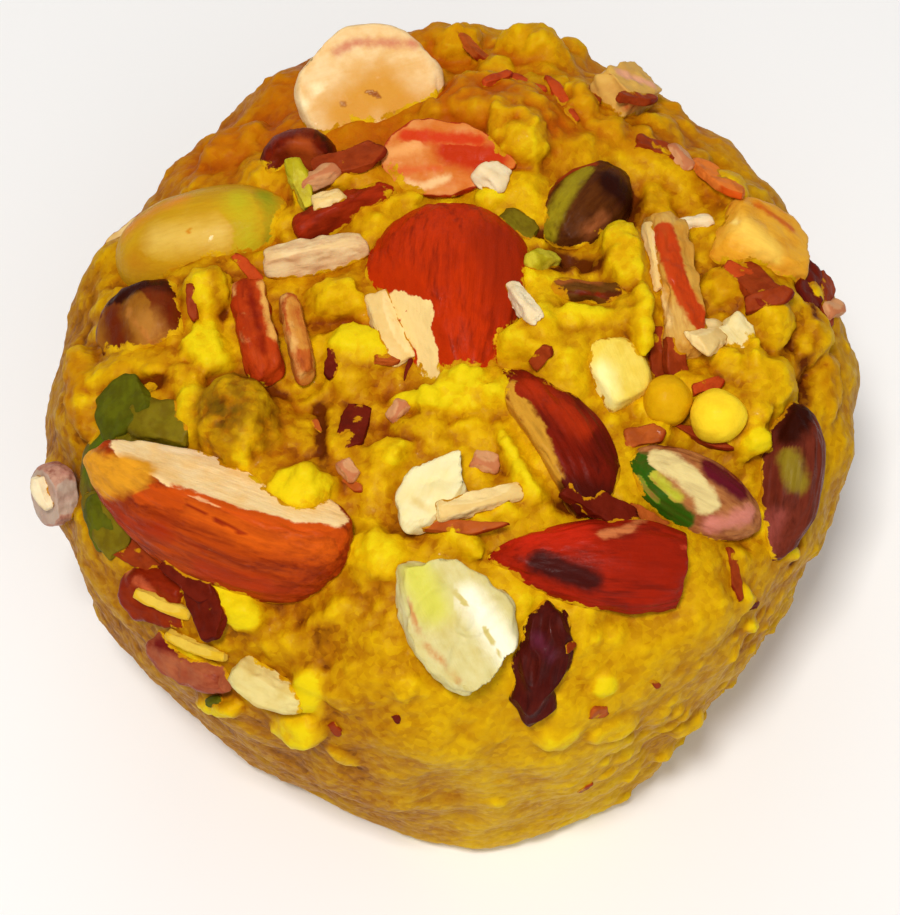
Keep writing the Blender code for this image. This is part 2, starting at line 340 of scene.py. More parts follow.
@dataclass(frozen=True)
class MoundShape:
    """The even mound under the crumbs: a flat base, a wall that flares to the rim, and a full dome."""

    rim_radius: float = 32.9
    rim_height: float = 26.0
    dome_height: float = 15.5
    base_radius: float = 27.8
    base_edge: float = 0.8
    dome_fullness: float = 2.5
    wall_flare: float = 1.5
    rim_lobes: tuple[Lobe, ...] = ((1, 0.008, 270), (2, 0.031, 149), (3, 0.014, 60), (4, 0.023, 97))
    base_lobes: tuple[Lobe, ...] = ((4, 0.035, 100),)
    lump_pitch: float = 9.0
    dome_lump: float = 2.2
    wall_lump: float = 1.0
    smooth_foot: float = 2.0
    dome_share: float = 0.50
    wall_share: float = 0.88
    shoulder: tuple[float, float] = (30.0, 40.0)

    @staticmethod
    def lobed(radius: float, lobes: tuple[Lobe, ...], bearing: np.ndarray) -> np.ndarray:
        """Give a radius the waves of a hand-moulded outline at each bearing."""
        swell = sum(share * np.cos(np.radians(waves * (bearing - crest))) for waves, share, crest in lobes)
        return radius * (1 + swell)

    def points(self, bearing: np.ndarray, station: np.ndarray) -> np.ndarray:
        """Place points on the even mound.

        Args:
            bearing: bearings in degrees.
            station: stations down the profile, one for each bearing.

        Returns:
            One row for each.
        """
        rim = self.lobed(self.rim_radius, self.rim_lobes, bearing)
        foot = self.lobed(self.base_radius, self.base_lobes, bearing)
        climb = np.radians(90 * np.clip(1 - station, 0, 1))
        power = 2 / self.dome_fullness
        dome_reach = rim * np.clip(np.cos(climb), 0, 1) ** power
        dome_height = self.rim_height + self.dome_height * np.sin(climb) ** power
        level = np.clip(2 - station, 0, 1)
        wall_height = self.rim_height * level
        below = np.clip(1 - wall_height / self.base_edge, 0, 1)
        wall_reach = foot + (rim - foot) * (1 - (1 - level) ** self.wall_flare)
        wall_reach = wall_reach - self.base_edge * (1 - np.sqrt(1 - below * below))
        base_reach = (foot - self.base_edge) * np.clip(3 - station, 0, 1)
        on_dome, on_wall = station <= 1, station <= 2
        reach = np.where(on_dome, dome_reach, np.where(on_wall, wall_reach, base_reach))
        height = np.where(on_dome, dome_height, np.where(on_wall, wall_height, 0.0))
        turn = np.radians(bearing)
        return np.stack([reach * np.sin(turn), -reach * np.cos(turn), height], axis=-1)

    def normals(self, bearing: np.ndarray, station: np.ndarray) -> np.ndarray:
        """Give the outward direction of the even mound.

        Args:
            bearing: bearings in degrees.
            station: stations, one for each bearing.

        Returns:
            One unit row for each.
        """
        step = 0.02
        station = np.maximum(station, step)
        round_it = self.points(bearing + 2, station) - self.points(bearing - 2, station)
        down_it = self.points(bearing, station + step) - self.points(bearing, station - step)
        outward = np.cross(down_it, round_it)
        return outward / np.linalg.norm(outward, axis=-1, keepdims=True)

    def unevenness(self, points: np.ndarray) -> np.ndarray:
        """Say how far the moulded halwa stands out from the even mound.

        Args:
            points: points of the even mound.

        Returns:
            A distance for each.
        """
        on_dome = np.clip((points[:, 2] - self.rim_height) / self.dome_height, 0, 1)
        depth = self.wall_lump + (self.dome_lump - self.wall_lump) * on_dome
        fade = np.clip(points[:, 2] / self.smooth_foot, 0, 1)
        places = [Vector(point) / self.lump_pitch for point in points]
        waves = np.array([noise.noise(place) + 0.5 * noise.noise(place * 2) for place in places])
        return fade * depth * waves

    def on_dome(self, points: np.ndarray) -> np.ndarray:
        """Say how far points are up on the dome, from 0 on the wall to 1 above the shoulder."""
        return smooth_step(*self.shoulder, points[:, 2])

    def seat_frame(self, seat: Seat) -> Matrix:
        """Give the place and turn of a piece from its seat.

        Args:
            seat: the piece's seat.

        Returns:
            The matrix from the piece's own millimetres to the mound's.
        """
        bearing, station = np.array([seat.bearing]), np.array([seat.station])
        outward = Vector(self.normals(bearing, station)[0])
        turn = math.radians(seat.heading)
        along = Vector((math.cos(turn), math.sin(turn), 0.0))
        along = (along - outward * along.dot(outward)).normalized()
        across = outward.cross(along)
        basis = Matrix((along, across, outward)).transposed().to_4x4()
        place = Vector(self.points(bearing, station)[0]) + outward * seat.lift
        pitch = Matrix.Rotation(math.radians(-seat.pitch), 4, "Y")
        roll = Matrix.Rotation(math.radians(seat.roll), 4, "X")
        return Matrix.Translation(place) @ basis @ pitch @ roll

    def from_ball(self, directions: np.ndarray) -> tuple[np.ndarray, np.ndarray]:
        """Turn directions of a ball into bearings and stations.

        Args:
            directions: unit rows.

        Returns:
            The bearing and the station of each.
        """
        share = np.arccos(np.clip(directions[:, 2], -1, 1)) / math.pi
        bearing = np.degrees(np.arctan2(directions[:, 0], -directions[:, 1]))
        descent = np.clip((share - self.dome_share) / (self.wall_share - self.dome_share), 0, 1)
        under = (share - self.wall_share) / (1 - self.wall_share)
        on_wall = 1 + np.sin(np.radians(90 * descent))
        station = np.where(share <= self.dome_share, share / self.dome_share, on_wall)
        return bearing, np.where(share > self.wall_share, 2 + under, station)


MOUND = MoundShape()


# ---------------- shader benches


@dataclass
class Bench:
    """Adds nodes to a tree and joins them up."""

    tree: bpy.types.NodeTree

    def feed(self, node: bpy.types.Node, inputs: dict[Any, Any]) -> None:
        """Join sockets to a node's inputs, or set their values.

        Args:
            node: the node.
            inputs: for each input's name or number, a socket or a value.
        """
        for key, value in inputs.items():
            if isinstance(value, bpy.types.NodeSocket):
                self.tree.links.new(value, node.inputs[key])
            else:
                node.inputs[key].default_value = value

    def add(self, kind: str, inputs: dict[Any, Any] | None = None, **settings: Any) -> bpy.types.Node:
        """Add a node, set it up and feed it.

        Args:
            kind: the node's type, without the words that all of them start with.
            inputs: for each input's name or number, a socket to join or a value to set.
            settings: the node's own settings.

        Returns:
            The node.
        """
        node = self.tree.nodes.new("ShaderNode" + kind)
        for key, value in settings.items():
            setattr(node, key, value)
        self.feed(node, inputs or {})
        return node

    def plus(self, base: Any, value: Any, times: Any = 1.0) -> Socket:
        """Add a value, a number of times over, to a base."""
        return self.add("Math", {0: value, 1: times, 2: base}, operation="MULTIPLY_ADD").outputs[0]

    def over(self, value: Any, by: Any) -> Socket:
        """Divide a value by another."""
        return self.add("Math", {0: value, 1: by}, operation="DIVIDE").outputs[0]

    def scaled(self, vector: Socket, by: Any) -> Socket:
        """Scale a vector by three numbers or another vector."""
        return self.add("VectorMath", {0: vector, 1: by}, operation="MULTIPLY").outputs[0]

    def ranged(self, value: Any, low: Any, high: Any, to_low: float = 0.0, to_high: float = 1.0) -> Socket:
        """Ease a number from one range to another, held at its ends."""
        inputs = {"Value": value, "From Min": low, "From Max": high, "To Min": to_low, "To Max": to_high}
        return self.add("MapRange", inputs, interpolation_type="SMOOTHSTEP").outputs["Result"]

    def noise(self, place: Socket, scale: Any, detail: Any = 3.0, rough: Any = 0.5) -> Socket:
        """Read a noise from 0 to 1, by its waves to a millimetre, its finer layers and their strength."""
        inputs = {"Vector": place, "Scale": scale, "Detail": detail, "Roughness": rough}
        return self.add("TexNoise", inputs).outputs["Fac"]

    def blend(self, share: Any, under: Any, over: Any) -> Socket:
        """Lay a share of one colour over another."""
        return self.add("Mix", {0: share, 6: under, 7: over}, data_type="RGBA").outputs[2]

    def ramp(self, value: Socket, stops: dict[float, Colour]) -> Socket:
        """Turn a number into a colour along a ramp of colours by their places from 0 to 1.

        Args:
            value: the number.
            stops: the colour at each place.

        Returns:
            The colour.
        """
        node = self.add("ValToRGB", {"Fac": value})
        elements = node.color_ramp.elements
        while len(elements) < len(stops):
            elements.new(0.5)
        for element, (place, colour) in zip(elements, stops.items()):
            element.position = place
            element.color = paint(colour)
        return node.outputs["Color"]

    def read(self, name: str, output: str = "Fac") -> Socket:
        """Read a value stored on the mesh."""
        return self.add("Attribute", attribute_name=name).outputs[output]


class Effect:
    """A shader effect that several finishes share, as a node group that is built once."""

    name = "effect"
    takes: dict[str, float] = {}
    gives: tuple[str, ...] = ("Mask",)

    @classmethod
    def group(cls) -> bpy.types.NodeTree:
        """Give the effect's group, made the first time it is asked for.

        Returns:
            The node group.
        """
        known = bpy.data.node_groups.get(cls.name)
        if known is not None:
            return known
        tree = bpy.data.node_groups.new(cls.name, "ShaderNodeTree")
        tree.interface.new_socket("Place", in_out="INPUT", socket_type="NodeSocketVector")
        for name, value in cls.takes.items():
            socket = tree.interface.new_socket(name, in_out="INPUT", socket_type="NodeSocketFloat")
            socket.default_value = value
        for name in cls.gives:
            tree.interface.new_socket(name, in_out="OUTPUT", socket_type="NodeSocketFloat")
        bench = Bench(tree)
        given = tree.nodes.new("NodeGroupInput").outputs
        bench.feed(tree.nodes.new("NodeGroupOutput"), cls.wire(bench, given))
        return tree

    @classmethod
    def wire(cls, bench: Bench, given: Any) -> dict[str, Socket]:
        """Build the effect from its given sockets, and give a socket for each output's name."""
        raise NotImplementedError

    @classmethod
    def on(cls, bench: Bench, place: Socket, **inputs: Any) -> Any:
        """Place the effect in a material.

        Args:
            bench: the material's bench.
            place: where on the piece a point is, in millimetres.
            inputs: a socket or a value for each input that differs from its usual one.

        Returns:
            The effect's outputs.
        """
        node = bench.add("Group", node_tree=cls.group())
        bench.feed(node, {"Place": place} | {name.title(): value for name, value in inputs.items()})
        return node.outputs


class Mottling(Effect):
    """Ragged patches, or thin marks along a nut where they are stretched."""

    name = "mottling"
    takes = {"Pitch": 3.0, "Stretch": 1.0, "Coverage": 0.4, "Softness": 0.1, "Detail": 4.0, "Rough": 0.55}

    @classmethod
    def wire(cls, bench: Bench, given: Any) -> dict[str, Socket]:
        """Keep the high parts of a noise that is stretched along the piece.

        Args:
            bench: the group's bench.
            given: the group's inputs.

        Returns:
            The mask's socket.
        """
        by = bench.add("CombineXYZ", {0: bench.over(1.0, given["Stretch"]), 1: 1.0, 2: 1.0}).outputs[0]
        scale = bench.over(1.0, given["Pitch"])
        waves = bench.noise(bench.scaled(given["Place"], by), scale, given["Detail"], given["Rough"])
        edge = bench.plus(0.8, given["Coverage"], -0.6)
        low = bench.plus(edge, given["Softness"], -1.0)
        return {"Mask": bench.ranged(waves, low, bench.plus(edge, given["Softness"]))}

    @classmethod
    def along(cls, bench: Bench, place: Socket, stretch: float, **inputs: float) -> Socket:
        """Give thin marks that run along a nut, from its blunt end to its tip."""
        return cls.on(bench, place, stretch=stretch, detail=3.0, rough=0.6, **inputs)["Mask"]


class TornEdge(Effect):
    """Where one finish ends and another starts, along a torn line that fades over some width."""

    name = "torn_edge"
    takes = {"Depth": 0.0, "Fade": 0.08, "Tear": 0.5, "Pitch": 1.0}

    @classmethod
    def wire(cls, bench: Bench, given: Any) -> dict[str, Socket]:
        """Shift the line by a noise.

        Args:
            bench: the group's bench.
            given: the group's inputs.

        Returns:
            The mask's socket, 1 on the inner side.
        """
        waves = bench.plus(MIDDLE, bench.noise(given["Place"], bench.over(1.0, given["Pitch"]), 4.0, 0.6))
        moved = bench.plus(given["Depth"], bench.plus(0.0, waves, given["Tear"]), 2.0)
        return {"Mask": bench.ranged(moved, bench.plus(0.0, given["Fade"], -1.0), given["Fade"])}


class HalwaSmear(Effect):
    """Halwa that clings to a nut, thickest where the nut meets the mound."""

    name = "halwa_smear"
    takes = {"Bed": 1.0, "Reach": 0.8, "Amount": 0.4}
    gives = ("Mask", "Height")

    @classmethod
    def wire(cls, bench: Bench, given: Any) -> dict[str, Socket]:
        """Keep more of a fine noise the nearer the halwa is.

        Args:
            bench: the group's bench.
            given: the group's inputs.

        Returns:
            The mask's and the height's sockets.
        """
        near = bench.ranged(bench.over(given["Bed"], given["Reach"]), 0.0, 2.0, 0.34, 0.0)
        lifted = bench.plus(bench.noise(given["Place"], 1.1, 5.0, 0.6), near)
        lifted = bench.plus(lifted, given["Amount"], 0.25)
        return {"Mask": bench.ranged(lifted, 0.76, 0.84), "Height": bench.ranged(lifted, 0.72, 0.95)}


class GheeFilm(Effect):
    """A thin film of ghee that lies unevenly, so that the gloss changes from spot to spot."""

    name = "ghee_film"
    takes = {"Pitch": 1.5, "Moist": 0.28, "Dry": 0.6}
    gives = ("Roughness",)

    @classmethod
    def wire(cls, bench: Bench, given: Any) -> dict[str, Socket]:
        """Go between the moist and the dry roughness.

        Args:
            bench: the group's bench.
            given: the group's inputs.

        Returns:
            The roughness's socket.
        """
        waves = bench.noise(given["Place"], bench.over(1.0, given["Pitch"]), 5.0, 0.6)
        spread = bench.plus(given["Dry"], given["Moist"], -1.0)
        return {"Roughness": bench.plus(given["Moist"], bench.ranged(waves, 0.35, 0.65), spread)}


class Dressing(Bench):
    """A new material on the bench."""

    def __init__(self, name: str) -> None:
        """Start the material.

        Args:
            name: its name.
        """
        self.material = bpy.data.materials.new(name)
        self.material.use_nodes = True
        super().__init__(self.material.node_tree)

    def finish(self, **inputs: Any) -> bpy.types.Material:
        """Feed the material's surface.

        Args:
            inputs: a socket or a value for each of its inputs, named in small letters.

        Returns:
            The material.
        """
        titles = {name: name.replace("_", " ").title().replace("Ior", "IOR") for name in inputs}
        self.feed(self.tree.nodes["Principled BSDF"], {titles[name]: inputs[name] for name in inputs})
        return self.material

    def food(
        self,
        place: Socket,
        colour: Socket,
        rough: Socket,
        relief: Socket,
        bump: tuple[float, float],
        reach: float,
    ) -> bpy.types.Material:
        """Finish a moist food: fine relief, a weak shine, light under its skin and tiny glints.

        Args:
            place: where on the piece a point is, in millimetres.
            colour: its colour.
            rough: its roughness.
            relief: the height of its fine relief.
            bump: how strong the relief is, and how deep.
            reach: how far light goes in.

        Returns:
            The material.
        """
        bumps = {"Height": relief, "Strength": bump[0], "Distance": bump[1] * MM}
        glints = Mottling.on(self, place, pitch=0.8, coverage=0.22, softness=0.03)["Mask"]
        return self.finish(
            base_color=colour,
            roughness=rough,
            normal=self.add("Bump", bumps).outputs["Normal"],
            coat_weight=self.plus(0.0, glints, 0.16),
            coat_roughness=0.18,
            ior=1.16,
            specular_ior_level=0.30,
            subsurface_weight=0.06,
            subsurface_radius=(1.0, 0.5, 0.15),
            subsurface_scale=reach * MM,
        )


# ---------------- the halwa


@dataclass
class NutSolids:
    """The solids of the nuts in the frame, which the halwa keeps clear of."""

    reach: float = 4.0

    def __post_init__(self) -> None:
        """Gather the solids into one search tree, in millimetres."""
        nodes = sorted(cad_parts.items())
        self.tree = joined([shell_of(node.data) for name, node in nodes if name != "halwa"]).tree()

    def away(self, points: np.ndarray) -> np.ndarray:
        """Say how far points are from the nearest nut.

        Args:
            points: one row each.

        Returns:
            A distance for each, below 0 inside a nut and no more than the reach.
        """
        far = np.full(len(points), self.reach)
        for n, point in enumerate(points.tolist()):
            hit, facing, _index, gap = self.tree.find_nearest(point, self.reach)
            if hit is not None:
                far[n] = gap if (Vector(point) - hit).dot(facing) > 0 else -gap
        return far


LUMP_REACH = 3.2
HOLLOW_REACH = 4.0
"""How far a lump and a hollow count above and below the mound."""


@dataclass(frozen=True)
class Patch:
    """A patch of the mound: where its middle is, which way it runs, its length and its width."""

    bearing: float
    station: float
    heading: float
    length: float
    width: float

    def placing(self) -> tuple[np.ndarray, np.ndarray]:
        """Give the patch's own directions as columns, and its middle."""
        placing = MOUND.seat_frame(Seat(self.bearing, self.station, self.heading))
        return np.array(placing.to_3x3()), np.array(placing.translation)

    def share(self, points: np.ndarray, depth: float) -> np.ndarray:
        """Say how far points are from the patch's middle, as a share of its size.

        Args:
            points: the points.
            depth: half of its size along the outward direction.

        Returns:
            A share for each point: 0 at the middle and 1 at the edge.
        """
        basis, place = self.placing()
        local = (points - place) @ basis
        return np.linalg.norm(local / np.array([self.length / 2, self.width / 2, depth]), axis=1)


@dataclass(frozen=True)
class Lump(Patch):
    """A lump of halwa: how proud it stands, how bright and how toasted it is.

    Over says how far it keeps its height where it meets a nut, from 0 to 1.
    """

    proud: float
    tone: float
    toast: float
    over: float = 0.0


@dataclass(frozen=True)
class Hollow(Patch):
    """A crack or crease in the halwa, and its depth."""

    depth: float

    def sunk(self, points: np.ndarray, steepness: float) -> np.ndarray:
        """Say how deep in the hollow points are, from 0 well outside it to 1 in its middle."""
        return np.exp(-steepness * self.share(points, HOLLOW_REACH) ** 2)


LUMPS = tuple(Lump(*row) for row in (
    (-91, 0.34, -72, 4.1, 3.4, 1.2, 0.85, 0.05), (-78, 0.34, -65, 5.7, 4.3, 1.4, 0.9, 0),
    (-64, 0.41, -90, 6.1, 2.8, 1, 0.7, 0.1), (-57, 0.35, -66, 7.8, 6.6, 1, 0.1, 0),
    (-89, 0.13, 9, 6.1, 3.4, 1.3, 0.62, 0.2), (-59, 0.12, -12, 5.7, 3.6, 1.2, 0.95, 0),
    (-57, 0.21, 48, 4.5, 3.7, 0.9, 0.75, 0.1), (14, 0.11, 1, 7, 3.7, 1.5, 0.6, 0.2, 1),
    (-11, 0.14, -8, 6.6, 2, 0.8, 0.95, 0), (45, 0.11, -12, 5.7, 3.4, 1.1, 0.6, 0.3),
    (70, 0.14, 8, 7, 2.5, 0.9, 0.85, 0.05), (20, 0.26, -78, 7.8, 3.6, 1.2, 0.75, 0.15),
    (5, 0.19, -34, 5.7, 4.1, 0.7, 0.6, 0.15), (-35, 0.38, 12, 4.5, 3.4, 1.3, 0.9, 0.05, 0.8),
    (105, 0.22, -84, 6.6, 3.8, 1.3, 0.65, 0.2), (124, 0.35, -36, 4.9, 4.5, 1.4, 0.55, 0.4),
    (135, 0.33, 32, 3.9, 3, 1.3, 0.7, 0.25), (79, 0.24, -91, 6.6, 1.6, 0.9, 0.7, 0.1),
    (70, 0.38, 8, 4.1, 3.3, 0.8, 0.45, 0.35), (77, 0.49, -49, 9, 6.1, 1.6, 0.58, 0.2),
    (64, 0.55, 26, 2.6, 2, 1, 0.95, 0), (95, 0.41, -42, 4.9, 3.3, 0.9, 0.4, 0.5),
    (89, 0.62, -92, 5.7, 3.6, 1.6, 0.45, 0.25), (83, 0.74, -77, 6.6, 3.3, 1.2, 0.4, 0.35),
    (169, 0.29, -22, 13.5, 9, 1.7, 0.2, 1), (163, 0.25, -78, 7.8, 5.7, 2.3, 0.34, 0.85),
    (180, 0.58, 36, 4.5, 3.3, 1.5, 0.5, 0.45), (167, 0.57, -30, 6.6, 3.3, 1.3, 0.5, 0.45),
    (153, 0.41, -80, 4.5, 3, 1.4, 0.5, 0.5), (-167, 0.12, 8, 9, 2.6, 1.1, 0.7, 0.25),
    (165, 0.14, -52, 3, 2.1, 1.1, 0.8, 0.1), (-133, 0.56, 21, 6.6, 4.1, 1, 0.4, 0.6),
    (-79, 0.65, -80, 9, 3.3, 0.9, 0.4, 0.45), (-76, 0.63, -42, 1.8, 1.6, 1.2, 0.8, 0.1),
    (-13, 0.43, -11, 7.4, 3.3, 0.5, 0.7, 0.05), (-35, 0.66, -52, 5.7, 3.6, 1.1, 0.85, 0),
    (-20, 0.85, -112, 6.4, 2.8, 1, 0.85, 0), (17, 0.55, 4, 9.8, 2.8, 0.7, 0.6, 0.1),
    (22, 1.03, 113, 4.9, 3.3, 0.6, 0.6, 0.1), (-129, 0.29, -76, 3.9, 1.8, 1.2, 0.85, 0),
    (97, 0.25, -92, 4.9, 1.8, 0.7, 0.6, 0.25), (76, 0.16, 4, 5.4, 1.6, 0.7, 0.85, 0.05),
    (-38.5, 0.646, -38, 3.2, 2.6, 0.9, 1, 0, 0.8), (-33.3, 0.669, -56, 3.7, 3, 1.2, 1, 0, 0.8),
    (-36.4, 0.665, -76, 3.4, 3.1, 1.2, 1, 0, 0.8), (-21.6, 0.986, 66, 5.4, 3.3, 1, 1, 0, 0.8),
    (-20.5, 0.824, -112, 4.6, 2.8, 1.1, 1, 0, 0.8), (-38.7, 0.924, 0, 4.3, 2.5, 0.7, 1, 0, 0.8),
    (-33.5, 1.043, -118, 5.9, 1.6, 0.6, 1, 0, 0.8), (21.4, 0.839, -12, 2.3, 2.2, 0.6, 1, 0, 0.8),
    (-24.6, 0.862, 4, 2.1, 1.7, 0.6, 1, 0, 0.8), (-48.5, 0.392, -74, 2.5, 1.2, 0.6, 1, 0, 0.8),
    (63.6, 0.554, 25, 2.9, 2.2, 0.6, 1, 0, 0.8), (56.1, 0.736, -46, 2.5, 1.7, 0.6, 0.8, 0, 0.8),
    (57.5, 0.895, -25, 2.1, 1.4, 0.6, 0.8, 0, 0.8), (45.8, 0.816, -30, 1.6, 1.3, 0.6, 0.8, 0, 0.8),
    (46.9, 0.986, -40, 2.3, 1.3, 0.6, 0.8, 0, 0.8), (14.3, 0.973, -58, 3.9, 3.4, 0.5, 0.62, 0, 0.8),
    (23.8, 1.171, 116, 4.7, 2.5, 0.5, 0.66, 0, 0.8), (-15.1, 1.093, 68, 3.6, 1.8, 0.5, 0.62, 0, 0.8),
    (3, 0.11, -6, 4.9, 3, 2, 0.8, 0.05, 1), (13, 0.14, 11, 5.4, 3.3, 1.8, 0.7, 0.1, 1),
    (-7, 0.14, -13, 4.6, 2.3, 1.5, 0.85, 0.05, 0.8), (-34, 0.37, 6, 5.4, 3.9, 1.9, 0.95, 0, 0.9),
    (-52, 0.39, -23, 4.9, 2.1, 1.4, 0.4, 0.3, 0.8), (-173, 0.28, -96, 4.9, 2.5, 1.4, 0.4, 0.5),
    (-16, 0.25, -24, 4.9, 3.3, 0.9, 0.7, 0.1), (-20, 0.4, -21, 6.6, 3.3, 0.7, 0.6, 0.1),
    (89, 0.49, -54, 4.9, 3.6, 1.2, 0.6, 0.2), (-146, 0.17, -3, 3.3, 2.1, 0.9, 0.6, 0.3),
))

HOLLOWS = tuple(Hollow(*row) for row in (
    (128, 0.32, -52, 4.9, 2.1, 1.3), (129, 0.13, -10, 5.7, 1.8, 1.4), (104, 0.14, 14, 5.7, 1, 0.9),
    (97, 0.61, -91, 7.4, 1.1, 1.8), (78, 0.65, -82, 8.2, 1.3, 2), (62, 0.85, -44, 7.4, 1.1, 1.2),
    (-74, 0.48, -1, 5.7, 1.3, 1.4), (-67, 0.71, -106, 9, 1.1, 1.2), (31, 0.41, -4, 8.2, 1.1, 0.9),
    (-98, 0.51, -23, 6.6, 1, 1.2), (-140, 0.29, -64, 4.9, 1.6, 0.9), (130, 0.3, -72, 4.6, 2.5, 2.2),
    (113, 0.13, -4, 5.4, 1.8, 1.8), (-91, 0.32, -82, 4.9, 1, 1.2), (55, 0.08, -72, 4.9, 1, 0.9),
    (-64, 0.29, -15, 5.7, 1.1, 1.2), (-41, 0.26, -84, 7.4, 1, 1),
))

DUSTED = Lump(-57, 0.35, -66, 8.2, 7.0, 1.0, 0.10, 0.00)

Grade = tuple[float, float]
"""A number on the mound's wall, and how much more it is on the dome."""


def graded(grade: Grade, on_dome: np.ndarray | float) -> np.ndarray | float:
    """Give a number that changes from the wall to the dome."""
    return grade[0] + grade[1] * on_dome


@dataclass(frozen=True)
class CrumbLayer:
    """One size of crumb strewn over the mound: how many, their half widths, how proud, how bright."""

    count: int
    small: float
    large: float
    proud_dome: float
    proud_wall: float
    wall_share: float
    tone: float
    tone_spread: float


@dataclass(frozen=True)
class Browning:
    """How bright and how toasted the halwa is, before its lumps and hollows.

    Crumbs, and clouds and grains of the halwa, each have their own tone. Valleys are painted darker and
    browner as shade, hollows darker as shade, and the left and the right side darker as shade, between the
    two places given for each. The back is toasted.
    """

    middle: Grade = (0.55, -0.03)
    clouds: Grade = (0.13, 0.05)
    cloud_pitch: float = 5.0
    grains: float = 0.06
    left: Grade = (0.27, -0.15)
    right: float = 0.14
    left_from: tuple[float, float] = (3.0, -7.0)
    right_from: tuple[float, float] = (10.0, 24.0)
    crumb_share: Grade = (0.15, 0.30)
    crumb_reach: float = 1.45
    crumb_fade: float = 0.6
    behind: float = 0.42
    behind_bearing: tuple[float, float] = (95.0, 140.0)
    behind_from: tuple[float, float] = (6.0, 16.0)
    toast_left: Grade = (0.03, 0.20)
    toast_clouds: Grade = (0.06, 0.08)
    toast_pitch: float = 7.0
    valley_rounds: int = 45
    valley_depth: float = 0.8
    valley_shade: Grade = (0.08, 0.10)
    valley_shade_browning: float = 0.22
    lump_share: float = 0.85
    lump_edge: tuple[float, float] = (1.15, 0.7)
    lump_contrast: float = 0.6
    hollow_shade: float = 0.8
    hollow_edge: float = 1.2


@dataclass(frozen=True)
class HalwaFinish:
    """The halwa's colours, from the deep ochre of painted shade in its cracks to the lemon of fresh crumbs.
    """

    deep: Colour = "5c2602"
    ochre: Colour = "a66802"
    golden: Colour = "c59104"
    bright: Colour = "daac05"
    lemon: Colour = "e4c80e"
    toasted: Colour = "b65203"
    speck: Colour = "6e2a04"
    dust: Colour = "685208"
    moist: float = 0.36
    dry: float = 0.62

    def material(self) -> bpy.types.Material:
        """Build the halwa's material.

        Returns:
            The material.
        """
        bench = Dressing("golden_halwa")
        place = bench.scaled(bench.add("TexCoord").outputs["Object"], (1 / MM, 1 / MM, 1 / MM))
        fine = bench.plus(MIDDLE, bench.noise(place, 1.4, 5.0, 0.6))
        broad = bench.plus(MIDDLE, bench.noise(place, 0.20))
        cells = bench.add("TexVoronoi", {"Vector": place, "Scale": 1.9, "Randomness": 1.0}).outputs
        grains = bench.plus(MIDDLE, bench.add("SeparateColor", {0: cells["Color"]}).outputs[0])
        tone = bench.read("tone")
        # The hollow attribute darkens the cracks as painted shade.
        for waves, times in ((fine, 0.25), (broad, 0.16), (bench.read("hollow"), -0.22), (grains, 0.16)):
            tone = bench.plus(tone, waves, times)
        stops = {0.0: self.deep, 0.26: self.ochre, 0.50: self.golden, 0.74: self.bright, 1.0: self.lemon}
        browned = bench.ranged(bench.plus(bench.read("toast"), broad, 0.45), 0.05, 0.90)
        colour = bench.blend(bench.plus(0.0, browned, 0.85), bench.ramp(tone, stops), paint(self.toasted))
        dust = Mottling.on(bench, place, pitch=1.3, coverage=0.62, softness=0.12)["Mask"]
        colour = bench.blend(bench.plus(0.0, dust, bench.read("dust")), colour, paint(self.dust))
        specks = Mottling.on(bench, place, pitch=0.6, coverage=0.06, softness=0.03)["Mask"]
        colour = bench.blend(bench.plus(0.0, specks, 0.35), colour, paint(self.speck))
        rough = GheeFilm.on(bench, place, pitch=0.7, moist=self.moist, dry=self.dry)["Roughness"]
        relief = bench.plus(bench.noise(place, 3.2, 4.0, 0.6), cells["Distance"], -0.5)
        return bench.food(place, colour, rough, relief, (0.5, 0.10), 0.8)


